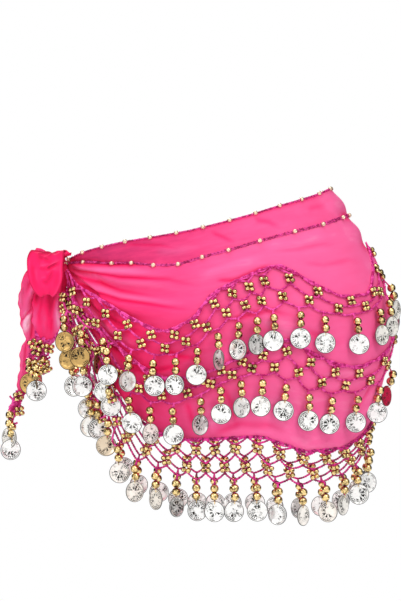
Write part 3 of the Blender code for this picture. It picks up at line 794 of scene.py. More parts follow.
def bowSurface(share, level):
    across = 2 * level - 1
    normal = unit(np.cross([1.0, 0.0, 0.0], bowMiddle(share + 0.02) - bowMiddle(share - 0.02)))
    lift = bowCrown(share) * (np.cos(math.pi / 2 * across) ** 0.8 - 0.55) + bowFolds(share, across)
    lift += 0.4 * np.sin(9.0 * share + 3.0 * across) * ease(0.12, 0.3, share)
    edge = bowHalf(share) * (1 + 0.02 * np.sin(27.0 * share + across))
    sideways = np.stack([edge * across, 0 * across, 0 * across], axis=-1)
    return bowMiddle(share) + sideways + normal * lift[:, None]


# colour depth with painted shade and highlight in its creases, painted shade inside the loop and painted
# light through its edges
def bowDepthAndShade(share, level):
    across, shade = 2 * level - 1, bow["shade"]
    gathered = shade["gathered"] * fade(0.08, 0.40, np.minimum(share, 1 - share))
    shadedCreases = shade["crease"] * bowFolds(share, across)
    lightThroughEdge = shade["lightThroughEdge"] * ease(0.80, 1.0, np.abs(across)) * ease(0.2, 0.35, share)
    inside = shade["inside"] * ease(0.60, 0.75, share)
    rim = shade["rim"] * hill((1 - np.abs(across)) / 0.06)
    return np.clip(shade["plain"] + gathered + shadedCreases + lightThroughEdge + inside + rim, -0.2, 1.25)


bowLoop = makeSheet("bowLoop", bow, bowSurface, bowDepthAndShade)

# what both tie ends share: waves of the side edges (mm, how close they follow), how round the ends
# hang (mm), how much deeper their rims look, and the painted shade and highlight of their creases
hanging = {"waves": ((0.9, 0.23), (0.4, 0.61)), "crown": (2.2, 0.9), "rim": 0.75, "crease": -0.13}

# hanging tie ends, gathered into the knot at the top
tieEnds = {
    "wide": {
        "size": (46.0, 64.0), "grid": (70, 90), "thickness": 0.7, "nodes": ("wide_tail",),
        # z, left x, right x, left y, right y
        "rows": (
            (-33, -146, -134.5, -19, -22), (-42, -150, -131.5, -24, -31), (-52, -158, -130.8, -30, -39.5),
            (-68, -165, -131.5, -31, -45), (-84, -167.5, -134.5, -31, -46), (-98, -167.5, -138.2, -31, -45),
            (-107, -166, -138.8, -31, -44), (-113.5, -164.5, -140.5, -31, -44),
        ),
        # how much higher the bottom and the top edge are: share of the width, mm
        "lowerEdge": (
            (0, 7.5), (0.12, 1.5), (0.25, -2), (0.38, 0.5), (0.52, -4), (0.66, -1.5), (0.78, -4.5),
            (0.9, 0), (1, 5),
        ),
        "upperEdge": ((0, 0), (1, 0)),
        # creases: height, width, then x and z of each place they run through
        "creases": (
            (-3.2, 2, -143, -38, -152, -56, -162, -72, -166, -92),
            (2.4, 2.6, -142, -40, -149, -60, -158.5, -80, -163, -104),
            (-2.6, 2, -148, -58, -156.5, -74, -160, -90, -160.5, -108),
            (-3.4, 4.2, -141, -46, -146, -68, -148, -84, -149, -108),
            (2.8, 3.4, -138, -44, -139, -62, -141.5, -80, -144, -104),
            (-2.2, 1.8, -136, -46, -136.6, -64, -138.5, -82, -141, -100),
            (1.2, 2.2, -153, -88, -154.5, -98, -155, -112),
            (-1.4, 1.6, -146, -92, -147, -102, -147.5, -113),
        ),
        "depthAndShade": 0.66, "shaded": 0.40, "shadow": (66.0, 88.0),
        # painted light showing through where it hangs single: middle x, middle z, half width, half height,
        # amount
        "lightThrough": ((-140, -96, 4.5, 18, 0.85), (-165, -94, 3, 20, 0.35)),
    },
    "long": {
        "size": (50.0, 150.0), "grid": (70, 200), "thickness": 0.7, "nodes": ("long_tail",),
        "rows": (
            (-23, -163.5, -147, -9, -10), (-28, -166.8, -141, -8, -10), (-38, -169.8, -140.5, -7, -9),
            (-48, -174, -142, -6, -7), (-55.5, -178.8, -144, -6, -6), (-67, -180.8, -146, -6, -6),
            (-84, -181.6, -150, -6, -8), (-97, -179.8, -154, -8, -10), (-107, -176.8, -158, -10, -12),
            (-114, -175.2, -160.5, -11, -13), (-124, -178.6, -164, -12, -14),
            (-140, -180.4, -167, -13, -15), (-154, -181.6, -170, -14, -15), (-167, -183, -173.5, -14, -15),
        ),
        "lowerEdge": ((0, 0), (0.5, -2), (1, -0.5)),
        "upperEdge": ((0, 0.5), (0.22, 0), (0.6, -3), (1, -6.5)),
        "creases": (
            (-2.4, 2, -146, -30, -158, -42, -170, -60, -175, -80),
            (2.6, 3.4, -148, -34, -162, -52, -172, -74, -176, -98),
            (-2.8, 2.2, -150, -40, -160, -60, -167, -78, -167.5, -92, -170, -100),
            (-2.4, 1.4, -166.5, -84, -172, -89, -177.5, -96, -179.5, -103),
            (2, 2.2, -164, -84, -170, -91, -174, -99, -174, -110),
            (-2.2, 1.8, -163, -86, -167, -98, -168, -112, -170, -124),
            (1.6, 2.4, -180, -58, -180.5, -72, -178.5, -86),
            (-1.6, 1.8, -172.5, -110, -174, -124, -175, -140, -178, -160),
            (1.4, 2, -169, -116, -171.5, -132, -174, -150), (-1.6, 2, -168, -34, -172, -44, -174, -56),
            (1.2, 2.2, -160, -27, -166, -36, -170, -48),
        ),
        "depthAndShade": 0.40, "shaded": 0.12, "shadow": (30.0, 60.0),
        "lightThrough": (
            (-173.5, -98, 4.2, 11, 0.95), (-177.5, -110, 3, 10, 0.3), (-178, -140, 5, 20, 0.25),
            (-180, -70, 4, 22, 0.25),
        ),
    },
}


def makeTieEnd(name, end):
    lines = [readTable([(-row[0], *row[1:]) for row in end["rows"]], column) for column in range(1, 5)]
    top, bottom = end["rows"][0][0], end["rows"][-1][0]
    lowerEdge, upperEdge = (readTable(end[key], 1) for key in ("lowerEdge", "upperEdge"))

    def flatPlace(share, level):
        z = top + (bottom - top) * level
        leftX, rightX, leftY, rightY = (line(-z) for line in lines)
        wave = sum(size * np.sin(close * z) for size, close in hanging["waves"]) * ease(0.0, 0.2, level)
        x = leftX + (rightX - leftX) * share + wave * (2 * share - 1)
        y = leftY + (rightY - leftY) * share
        bottomShape = lowerEdge(share) * ease(0.62, 1.0, level)
        topShape = upperEdge(share) * fade(0.0, 0.15, level)
        return np.stack([x, y, z + bottomShape + topShape], axis=-1)

    def surface(share, level):
        place = flatPlace(share, level)
        crown, bend = hanging["crown"]
        crowned = crown * np.sin(math.pi * share) - bend * np.cos(circle * share + 0.03 * place[:, 2])
        place[:, 1] -= creaseHeight(place[:, [0, 2]], end["creases"]) + crowned - 1.0
        return place

    # colour depth with painted shade: the shadow under the loop, painted shade and highlight in the
    # creases; painted light where it hangs single
    def depth(share, level):
        x, _, z = flatPlace(share, level).T
        lightThrough = sum(
            amount * np.exp(-(((x - middle) / wide) ** 2) - ((z - height) / tall) ** 2)
            for middle, height, wide, tall, amount in end["lightThrough"]
        )
        shaded = end["shaded"] * fade(*end["shadow"], -z)
        rim = hanging["rim"] * hill(np.minimum(share, 1 - share) * end["size"][0])
        shadedCreases = hanging["crease"] * creaseHeight(np.stack([x, z], axis=-1), end["creases"])
        return np.clip(end["depthAndShade"] + shaded + rim + shadedCreases - lightThrough, -0.4, 1.25)

    def edgeLine(share):
        return surface(np.atleast_1d(share), np.ones(np.size(share)))

    return makeSheet(name, end, surface, depth), edgeLine


wideTail, wideEdge = makeTieEnd("wideTail", tieEnds["wide"])
longTail, longEdge = makeTieEnd("longTail", tieEnds["long"])

# the knot's lump, wound round by its own folds
knot = {
    "size": (46.0, 120.0),
    "grid": (192, 47),
    # share of its length, middle down, middle out, half height, half depth
    "sections": (
        (-1, 13, -0.6, 15, 4.2), (-0.7, 11, 2, 19, 7.5), (-0.25, 10.5, 4.5, 21, 10.5),
        (0.25, 11, 4.5, 20, 10.5), (0.7, 12, 2, 17.5, 7.5), (1, 13, -0.6, 15, 4.2),
    ),
    "winds": 7,        # folds round the lump
    "foldHeight": 0.085,
    "ridge": 0.06,     # three broader ones, less high
    "depthAndShade": 0.98, "shade": 0.25,
}
knotLines = [readTable(knot["sections"], column) for column in range(1, 5)]


def knotSurface(share, level):
    along = np.clip(1.012 * (2 * share - 1), -1.0, 1.0)
    angle = circle * level
    down, out, tall, thick = (line(along) for line in knotLines)
    closing = np.sqrt(np.clip(1 - np.abs(2 * share - 1) ** 14, 0.0, 1.0)) * 0.995 + 0.005
    ridge = 1 + knot["ridge"] * (1 - along**2) * np.cos(3 * angle + 2.5 * along)
    folds = knot["foldHeight"] * np.cos(knot["winds"] * angle + 3.2 * along + 0.8 * np.sin(2 * angle))
    size = (ridge + folds * (1 - along**4) - 0.06) * closing
    length = hips["knotEnd"] - 0.3 / girth(0.0)
    return hipPoint(along * length, down - tall * size * np.cos(angle), out + thick * size * np.sin(angle))


# painted shade in the valleys of the folds round the lump, painted highlight on their crests
def knotDepthAndShade(share, level):
    folds = np.cos(knot["winds"] * circle * level + 3.2 * (2 * share - 1))
    return np.clip(knot["depthAndShade"] - knot["shade"] * folds, 0.0, 1.25)


def makeKnot():
    sides, rings = knot["grid"]
    piece = startShape(
        "knotWrap", bpy.ops.mesh.primitive_cylinder_add,
        vertices=sides, radius=1.0, depth=2.0, end_fill_type="NGON",
    )
    mesh = piece.data
    bpy.ops.object.mode_set(mode="EDIT")
    bpy.ops.mesh.select_mode(type="EDGE")
    bpy.ops.mesh.select_all(action="DESELECT")
    bpy.ops.object.mode_set(mode="OBJECT")
    for edge in mesh.edges:
        ends = [mesh.vertices[i].co.z for i in edge.vertices]
        edge.select = abs(ends[0] - ends[1]) > 1.0
    bpy.ops.object.mode_set(mode="EDIT")
    bpy.ops.mesh.subdivide(number_cuts=rings)
    bpy.ops.object.mode_set(mode="OBJECT")
    tube = readPoints(mesh)
    share, level = (tube[:, 2] + 1) / 2, np.arctan2(tube[:, 1], tube[:, 0]) / circle % 1.0
    writePoints(mesh, knotSurface(share, level) * mm)
    addValues(mesh, "depthAndShade", knotDepthAndShade(share, level))
    writeCut(mesh, np.stack([share * knot["size"][0], level * knot["size"][1]], axis=1) * mm)
    bpy.ops.object.mode_set(mode="EDIT")
    bpy.ops.mesh.select_all(action="SELECT")
    bpy.ops.mesh.normals_make_consistent(inside=False)
    bpy.ops.object.mode_set(mode="OBJECT")
    bpy.ops.object.shade_smooth()
    return finishPiece(piece, chiffon, "chiffon", "knot")


# the corner that was pulled through the knot and stands up beside it like a frill
frill = {
    "size": (20.0, 14.0), "grid": (30, 14), "thickness": 0.7, "nodes": (), "depthAndShade": 0.95, "shade": 0.3,
    # its lower and upper edge from the knot to the point
    "lower": ((-147, -43, -34.5), (-140, -46, -33.5), (-133, -45, -31.5), (-127.6, -41, -30.5)),
    "upper": ((-145, -36, -28), (-137, -36, -24.8), (-132, -38, -26), (-127.2, -40, -27.8)),
}


def frillSurface(share, level):
    steps = np.linspace(0.0, 1.0, len(frill["lower"]))
    upper, lower = (
        np.stack([np.interp(share, steps, line) for line in zip(*frill[key])], axis=-1)
        for key in ("upper", "lower")
    )
    place = upper * (1 - level)[:, None] + lower * level[:, None]
    crumple = 1.3 * np.sin(9.0 * share + 5.0 * level) * (1 - share)
    place[:, 1] -= crumple + 0.7 * np.sin(21.0 * share - 7.0 * level)
    place[:, 2] += 0.7 * np.sin(13.0 * share) * (1 - level)
    return place


# painted shade and highlight following the frill's crumples
def frillDepthAndShade(share, level):
    return np.clip(frill["depthAndShade"] - frill["shade"] * np.sin(9.0 * share + 5.0 * level), 0.0, 1.25)


knotWrap = makeKnot()
knotCorner = makeSheet("knotCorner", frill, frillSurface, frillDepthAndShade)

print("one bead, one pearl and one coin")

findings = {
    "bigBead": 8.7,          # mm across
    "smallBead": 5.5,
    "pearl": 4.8,
    "coin": 21.0,
    "coinThickness": 0.9,
    # rim, its inner slope, sunk field and boss: how wide, and how much higher than the step before
    "coinSteps": ((1.3, 0.0), (0.25, -0.22), (3.6, 0.10), (3.0, 0.14)),
    "rosette": (3.5, 6.0, 1.28),    # from, to, and how much longer each third spoke is drawn
    "ring": (1.9, 0.38),     # jump ring: radius, wire radius
}


def selectFaces(piece, chosen):
    bpy.ops.object.mode_set(mode="OBJECT")
    for part in (piece.data.vertices, piece.data.edges, piece.data.polygons):
        part.foreach_set("select", np.zeros(len(part), bool))
    for face in piece.data.polygons:
        face.select = bool(chosen(face))
    bpy.ops.object.mode_set(mode="EDIT")
    bpy.ops.mesh.select_mode(type="FACE")


# a bead on its string: a ball with its poles pushed in round the thread hole
def modelBead(name, size, segments, rings):
    radius = size / 2 * mm
    piece = startShape(
        name, bpy.ops.mesh.primitive_uv_sphere_add, segments=segments, ring_count=rings, radius=radius
    )
    for end in (1, -1):
        selectFaces(piece, lambda face: face.center.z * end > radius * math.cos(math.pi / rings) * 0.9)
        bpy.ops.mesh.dissolve_faces()
        bpy.ops.mesh.extrude_region_move(TRANSFORM_OT_translate={"value": (0, 0, -end * radius * 0.35)})
        bpy.ops.transform.resize(value=(0.45, 0.45, 1.0))
        bpy.ops.object.mode_set(mode="OBJECT")
    bpy.ops.object.shade_smooth()
    return piece


# a stamped disc: rim, sunk field and a domed rosette on each face, standing in XZ and facing -Y
def modelCoin():
    radius, thick = findings["coin"] / 2 * mm, findings["coinThickness"] * mm
    piece = startShape(
        "coinPattern", bpy.ops.mesh.primitive_cylinder_add,
        vertices=24, radius=radius, depth=thick, end_fill_type="NGON", rotation=(math.radians(90), 0, 0),
    )
    bpy.ops.object.transform_apply(location=True, rotation=True, scale=True)
    for facingWay in (-1, 1):
        selectFaces(piece, lambda face: face.normal.y * facingWay > 0.9)
        for width, height in findings["coinSteps"]:
            bpy.ops.mesh.inset(thickness=width * mm, depth=height * mm)
        bpy.ops.object.mode_set(mode="OBJECT")
    points = readPoints(piece.data)
    reach = np.hypot(points[:, 0], points[:, 2])
    spoke = np.round(np.arctan2(points[:, 2], points[:, 0]) / (math.pi / 12)).astype(int)
    inner, outer, drawn = findings["rosette"]
    points[(reach < outer * mm) & (reach > inner * mm) & (spoke % 3 == 0)] *= (drawn, 1.0, drawn)
    writePoints(piece.data, points)
    writeCut(piece.data, points[:, [0, 2]] / radius)
    pick(piece)
    bpy.ops.object.shade_smooth_by_angle(angle=math.radians(35))
    return piece


# the jump ring that joins a coin to its string
def modelRing():
    radius, wire = findings["ring"]
    piece = startShape(
        "ringPattern", bpy.ops.mesh.primitive_torus_add,
        major_radius=radius * mm, minor_radius=wire * mm, major_segments=10, minor_segments=4,
        rotation=(math.radians(90), 0, math.radians(90)),
    )
    bpy.ops.transform.resize(value=(1.0, 0.8, 1.25))
    bpy.ops.object.transform_apply(location=True, rotation=True, scale=True)
    bpy.ops.object.shade_smooth()
    return piece


bigBead = modelBead("bigBeadPattern", findings["bigBead"], 10, 7)
smallBead = modelBead("smallBeadPattern", findings["smallBead"], 8, 5)
pearlBead = modelBead("pearlPattern", findings["pearl"], 8, 6)
coinDisc = modelCoin()
jumpRing = modelRing()


# turns that stand things upright, facing `out`, turned `turn` about the plumb line and
# swung `swing` about the way they face, all in degrees
def uprightTurns(out, turn=0.0, swing=0.0):
    out = np.atleast_2d(out)
    turn, swing = (np.radians(np.broadcast_to(value, len(out)).astype(float)) for value in (turn, swing))
    back = np.stack([
        out[:, 1] * np.sin(turn) - out[:, 0] * np.cos(turn),
        -out[:, 0] * np.sin(turn) - out[:, 1] * np.cos(turn),
        0 * turn,
    ], axis=1)
    sideways = np.stack([back[:, 1], -back[:, 0], 0 * turn], axis=1)
    upward = np.array([0.0, 0.0, 1.0]) + 0 * back
    across = sideways * np.cos(swing)[:, None] + upward * np.sin(swing)[:, None]
    up = upward * np.cos(swing)[:, None] - sideways * np.sin(swing)[:, None]
    return np.stack([across, back, up], axis=2)


print("three beaded nets")

netting = {
    "threadOut": 1.4,       # mm from the cloth to the middle of the thread
    "clusterOut": 2.6,
    "ply": (0.72, 0.64, 4.8),   # radius of a ply, its distance from the middle, length of a turn
    "rows": (0.28, 0.71, 1.0),  # where the meshes cross: shares of the way down the net
    "clusterHalf": 4.9,     # from the middle of four beads to the string's crossing
    "beadSpread": 2.45,
    "sag": 0.9,
    # lines that sew it on: how far they droop between the knots, radius of a ply
    "sewnLines": ((0.0, 0.55), (2.1, 0.45)), "sewnTurn": 5.0, "sewnOut": 0.9,
    "bends": 7,             # points on a thread between two knots
    "step": 1.3,            # mm between the points of a ply
    "lean": 16,             # degrees that a cluster may lean
    "stray": 0.35,          # mm that it may lie aside
}

pendant = {
    "beads": (8.1, 16.3),   # mm under the net's point
    "ring": 21.0,
    "coin": 31.0,
    "out": 6.7,
    "stagger": 0.9,         # every other one lies this much further out
    "stray": 0.25,          # mm that a bead may hang aside
    "turned": 28,           # degrees that a coin may be turned at the back, and at the most
    "mostTurned": 62,
    "swing": 7,             # degrees that it may swing
    "clear": (1.5, 5.0),    # mm that its rim keeps off the cloth, and that it moves out at the most
}

overMiddle = (5.5, 0.100, 0.122)   # height, fully up within, down again beyond
overHem = (5.5, 0.060, 0.095)

# columns: the way from the knot in thousandths of the girth; lines: around, top and points of the net;
# looks: how far each coin on the front is turned from facing straight ahead, in degrees
tiers = {
    "upper": {
        "nodes": ("upper_net_front", "upper_net_back", "upper_fringe_front", "upper_fringe_back"),
        "thread": thread,
        "lifts": (overMiddle, overHem),
        "columns": (
            48.9, 73, 97, 120, 145.5, 170, 194, 219, 241.5, 262.5, 281, 310, 338, 377, 416.5, 448.5,
        ),
        "looks": (-22, 16, -12, 62, 4, -26, 5, 76, -34, 40, 8, -6, 10, -4, 48, 52, 62),
        "warm": {0: 0.6, 1: 0.6, 14: 0.3, 15: 0.3, 16: 0.3},
        "drawn": {15: -0.011},     # how far a pendant is drawn aside, share of the girth
        "lines": (
            (12, 15, 38), (20, 17, 46), (50, 37, 66), (80, 52, 92), (100, 65, 109), (120, 80, 116),
            (140, 93, 122), (160, 101, 126), (190, 93, 119), (220, 71, 105), (250, 62, 96), (300, 54, 93),
            (335, 73, 101), (370, 89, 107), (400, 90, 105), (430, 76, 96), (460, 55, 86), (482, 46, 80),
        ),
    },
    "middle": {
        "nodes": ("middle_net_front", "middle_net_back", "middle_fringe_front", "middle_fringe_back"),
        "thread": thread,
        "lifts": (overHem,),
        "columns": (
            41, 66.5, 92, 115, 137, 163.5, 195.5, 218, 241, 264, 291, 320.5, 352.5, 389, 434.5,
        ),
        "looks": (-26, 22, 8, -10, 46, 6, 40, -8, 36, -18, 6, -5, 8, -6, 5, 60),
        # the two coins at the side are the flat red: painted reflection of the pink cloth, in shade
        "warm": {0: 0.6, 4: 0.3, 15: 1.0, 16: 1.0},
        "drawn": {},
        "lines": (
            (12, 19, 54), (20, 25, 64), (41, 48, 87), (55, 62, 105), (80, 84, 127), (105, 112, 150),
            (136, 137, 171), (162, 149, 175), (190, 150, 170), (220, 142, 159), (250, 133, 155),
            (270, 128, 158), (296, 124, 166), (320, 139, 177), (350, 153, 183), (385, 160, 185),
            (420, 155, 182), (460, 138, 172), (482, 126, 164),
        ),
    },
    "hem": {
        "nodes": ("hem_net_front", "hem_net_back", "hem_fringe_front", "hem_fringe_back"),
        "thread": freeThread,
        "lifts": (),
        "columns": (
            36, 63, 89, 110.5, 136, 163, 188, 212, 238, 267, 297, 331, 367, 398.5, 427.5, 454.2,
        ),
        "looks": (-26, 34, 12, 54, -52, 78, 22, -18, 20, 6, -30, 54, -48, 56, 8, 30, 75),
        "warm": {1: 0.12, 2: 0.28, 3: 0.32, 4: 0.34, 11: 0.28, 12: 0.32, 13: 0.26},
        "drawn": {},
        "lines": wrap["hem"],
    },
}

for tier in tiers.values():
    tier["sewn"], tier["points"] = (roundHips(tier["lines"], column) for column in (1, 2))
    columns = [column / 1000 for column in tier["columns"]]
    near = [columns[0] - (columns[1] - columns[0]) / 2, *columns]
    tier["count"] = 2 * len(columns) + 1
    tier["steps"] = [-0.5, *range(tier["count"]), tier["count"] - 0.5]
    tier["arounds"] = [*near, side, *(2 * side - around for around in reversed(near))]


# near the knot the nets bunch up, and each one lies over those below it
def tierLift(tier, near):
    return sum(height * fade(inner, outer, near) for height, inner, outer in tier["lifts"])


def tierAround(tier, column):
    return np.interp(column, tier["steps"], tier["arounds"])


def tierSpot(tier, column, share, drop=0.0, out=0.0):
    around = tierAround(tier, column)
    near = fromKnot(around)
    down = tier["sewn"](near) * (1 - share) + tier["points"](near) * share + drop
    return hipPoint(around, down, ridgeHeight(around) + tierLift(tier, near) * share + out)


# a thread from one (column, share, drop) to another, a little slack
def tierThread(tier, start, end):
    t = np.linspace(0.0, 1.0, netting["bends"])
    column, share, drop = (first + (last - first) * t for first, last in zip(start, end))
    return tierSpot(tier, column, share, drop + netting["sag"] * 4 * t * (1 - t), netting["threadOut"])


# two plies wound round each other
def plied(path, size=netting["ply"]):
    path = np.asarray(path, float)
    along = distances(path)
    where = np.linspace(0.0, along[-1], max(int(round(along[-1] / netting["step"])), 3) + 1)
    middle = np.stack([np.interp(where, along, path[:, i]) for i in range(3)], axis=1)
    forward = unit(np.gradient(middle, axis=0))
    sideways = unit(np.cross(forward, [0.31, 0.22, 0.92]))
    turn = (circle * where / size[2])[:, None]
    swing = size[1] * (np.cos(turn) * sideways + np.sin(turn) * np.cross(forward, sideways))
    return [middle + swing, middle - swing]


# the threads of a net's meshes: draw gives one between two (column, share, drop)
def meshThreads(count, draw):
    first, second, last = netting["rows"]
    half, paths = netting["clusterHalf"], []
    for j in range(count):
        for way in (-0.5, 0.5):
            paths += plied(draw((j + way, 0.0, 0.0), (j, first, -half)))
            paths += plied(draw((j, first, half), (j + way, second, -half)))
            paths += plied(draw((j + way, second, half), (j, last, 0.0)))
    return paths


# the net's top is sewn on with one nearly level line and one that droops between its knots
def sewnChain(tier):
    columns, paths = np.linspace(-0.5, tier["count"] - 0.5, 300), []
    level = 0.35 * np.sin(columns * circle * 2) - 0.2
    for droop, size in netting["sewnLines"]:
        drop = level + droop * np.abs(np.cos(columns * math.pi))
        line = tierSpot(tier, columns, 0.0, drop, netting["sewnOut"])
        paths += plied(line, (size, size, netting["sewnTurn"]))
    return paths


# two strings cross above and below each cluster of four beads
def clusterStrings(middle, across, along):
    reach, half = netting["beadSpread"], netting["clusterHalf"]
    for way in (-1, 1):
        yield np.array([
            middle - along * half,
            middle - along * reach + across * way * reach,
            middle + along * reach + across * way * reach,
            middle + along * half,
        ])


def clusterBeads(middles, acrosses, alongs):
    reach, ways = netting["beadSpread"], (-1, 1)
    return np.concatenate([
        middles + up * reach * alongs + way * reach * acrosses for up in ways for way in ways
    ])


# a bead's own string runs along local Z: matrices that point it down the way given
def alongString(direction, out):
    down = unit(direction)
    across = unit(np.cross(down, out))
    return np.stack([across, np.cross(down, across), down], axis=2)


# across and along clusters that lean this far
def leaning(degrees):
    lean = np.radians(degrees)
    return (
        np.stack([np.cos(lean), 0 * lean, np.sin(lean)], axis=1),
        np.stack([np.sin(lean), 0 * lean, -np.cos(lean)], axis=1),
    )


# all that a net carries. clusters: their middles, and the two ways they lie; hung: the net's points,
# upper and lower beads, rings and coins; beside: half of how far the two strings spread
def dressNet(name, cord, nodes, paths, clusters, hung, beside, outward, directions, turns, values):
    points, upper, lower, rings, coins = hung
    middles, acrosses, alongs = clusters
    for cluster in zip(middles, acrosses, alongs):
        paths += clusterStrings(*cluster)
    for point, first, second, link, apart in zip(points, upper, lower, rings, beside):
        paths += [np.array([point, (point + first) / 2 + way * apart, first]) for way in (-1, 1)]
        paths.append(np.array([first, second, link]))
    fours = alongString(np.tile(alongs, (4, 1)), np.tile(acrosses, (4, 1)))
    strung = alongString(np.concatenate(directions), np.tile(outward, (2, 1)))
    pieces = [finishPiece(makeThreads(name + "Net", paths, netting["ply"][0]), cord, "thread", *nodes[0])]
    for part, pattern, places, ways, material, slotName, covered, given in (
        ("Clusters", smallBead, clusterBeads(*clusters), fours, beadGold, "beads", (), None),
        ("Beads", bigBead, np.concatenate([upper, lower]), strung, beadGold, "beads", nodes[1], None),
        ("Coins", coinDisc, coins, turns[0], coinMetal, "pendants", (), values),
        ("Rings", jumpRing, rings, turns[1], beadGold, "beads", (), None),
    ):
        piece = strewCopies(name + part, pattern, places, ways, given)
        pieces.append(finishPiece(piece, material, slotName, *covered))
    return pieces


def makeTier(name, tier, seed):
    chance = np.random.default_rng(seed)
    half, count = netting["clusterHalf"], tier["count"]
    paths = meshThreads(count, lambda start, end: tierThread(tier, start, end)) + sewnChain(tier)
    clusters = []
    for share, columns in zip(netting["rows"], (np.arange(count), np.arange(count + 1) - 0.5)):
        above, below = (
            tierSpot(tier, columns, share, way * half, netting["clusterOut"]) for way in (-1, 1)
        )
        along, around = unit(below - above), tierAround(tier, columns)
        level = facing(around, tier["sewn"](fromKnot(around)))[1]
        lean = np.radians(chance.uniform(-netting["lean"], netting["lean"], len(columns)))[:, None]
        middle = (above + below) / 2 + chance.normal(0.0, netting["stray"], above.shape)
        cosine, sine = np.cos(lean), np.sin(lean)
        clusters.append((middle, level * cosine + along * sine, along * cosine - level * sine))
    clusters = [np.concatenate(part) for part in zip(*clusters)]
    columns = np.arange(count)
    around = tierAround(tier, columns)
    for column, shift in tier["drawn"].items():
        around[column] += shift
    near = fromKnot(around)
    down = tier["points"](near)
    base = tierLift(tier, near) + pendant["out"] + pendant["stagger"] * np.where(columns % 2, 1, -1)
    points = tierSpot(tier, columns, 1.0, 0.0, netting["threadOut"])

    def hang(drop, outer=0.0):
        below, lower = straightBelow(around, down, drop)
        return hipPoint(below, lower, base + ridgeHeight(below) + outer), facing(below, lower)[0]

    outward = hang(pendant["beads"][0])[1]
    azimuth = np.degrees(np.arctan2(outward[:, 0], -outward[:, 1]))
    turn, shown = chance.uniform(-pendant["turned"], pendant["turned"], count), len(tier["looks"])
    turn[:shown] = np.clip(tier["looks"] - azimuth[:shown], -pendant["mostTurned"], pendant["mostTurned"])
    swing = chance.uniform(-pendant["swing"], pendant["swing"], count)
    clear, most = pendant["clear"]
    rim = findings["coin"] / 2 * np.sin(np.radians(np.abs(turn)))
    outer = np.clip(rim + clear - pendant["out"], 0.0, most)
    beads = [
        hang(drop)[0] + chance.normal(0.0, pendant["stray"], points.shape) for drop in pendant["beads"]
    ]
    ring, _ = hang(pendant["ring"], outer * 0.5)
    coin, coinOut = hang(pendant["coin"], outer)
    level = np.stack([-coinOut[:, 1], coinOut[:, 0], 0 * swing], axis=1)
    coin += level * (np.sin(np.radians(swing)) * (pendant["coin"] - pendant["ring"]))[:, None]
    warm = np.clip(chance.normal(0.0, 0.05, count), 0, 1)
    for column, value in tier["warm"].items():
        warm[column] = value
    return dressNet(
        name, tier["thread"], (tier["nodes"][:2], tier["nodes"][2:]), paths, clusters,
        (points, *beads, ring, coin), level * 0.8, outward, (beads[1] - points, beads[1] - beads[0]),
        (uprightTurns(coinOut, turn, swing), uprightTurns(coinOut, turn * 0.6, swing * 0.5)),
        {"seed": chance.uniform(0, 40, count), "warm": warm},
    )


onWrap = []
for number, (name, tier) in enumerate(tiers.items()):
    onWrap += makeTier(name, tier, 11 + number)

# strands that bunch up beside the knot and lie over the nets; every place is the way from the knot
# in thousandths of the girth, then mm down
heap = {
    "forward": 12.0,      # mm that it stands out from the hips, straight ahead
    "pendantOut": 1.5,    # the pendants further
    "lean": 40, "stray": 0.5,
    "clusters": (
        (25.4, 50.5), (23.7, 65.2), (51.6, 70), (54.5, 85.4), (54.2, 98.2), (64.1, 114), (62.6, 182.4),
        (84.2, 162.7), (86.1, 187.7), (79.3, 172.7), (102.2, 200), (65.9, 84.1),
    ),
    # places of the end of its string, both beads and the coin, how far it is turned, how warm it is
    "pendants": (
        (80.4, 96, 81.9, 104.4, 80.5, 112.7, 69.6, 126.4, 70, 0.62),
        (85.7, 123.7, 81.7, 131.4, 79.4, 139.9, 75.6, 154.7, -15, 0),
        (54.2, 139.4, 52, 147.7, 48.7, 156.3, 43.2, 171, 5, 0),
        (65.7, 158.1, 61.7, 168.1, 59.3, 177.1, 53.4, 194.3, 8, 0.05),
        (76.3, 179, 72.1, 188.8, 68.6, 198.1, 60.9, 213.9, -10, 0.46),
    ),
    "strings": (
        (17.9, 23.9, 28.7, 36.3, 39.4, 57.3, 54.5, 85.4, 54.2, 98.2, 64.1, 114, 69.6, 126.4),
        (25.4, 50.5, 51.6, 70, 65.9, 84.1, 80.4, 96), (64.1, 114, 72.5, 134.6, 65.7, 158.1, 62.6, 182.4),
        (85.7, 123.7, 84.2, 162.7, 86.1, 187.7, 102.2, 200), (64.1, 114, 54.2, 139.4),
        (62.6, 182.4, 76.3, 179, 86.1, 187.7),
        (54.2, 98.2, 42.7, 120.4, 45.1, 140.9, 53.1, 162.3, 62.6, 182.4),
        (21.6, 41.2, 25.4, 50.5, 23.7, 65.2), (86.1, 187.7, 73, 207.9, 82.9, 219.5),
        (10.5, 15, 15.5, 20, 22.1, 28.8, 24.4, 42.6, 23.5, 56, 27.1, 73.6, 28.9, 90.4),
        (15, 13.5, 25.5, 21.4, 35.6, 35.8, 40.9, 49.6, 36.9, 67.4, 37.6, 88.6),
    ),
}


# a soft line through a few places
def smoothString(places):
    places = np.asarray(places)
    shares, fine = np.arange(len(places)), np.linspace(0, len(places) - 1, 5 * (len(places) - 1) + 1)
    return np.stack([readTable(np.c_[shares, places[:, i]], 1)(fine) for i in range(3)], axis=-1)


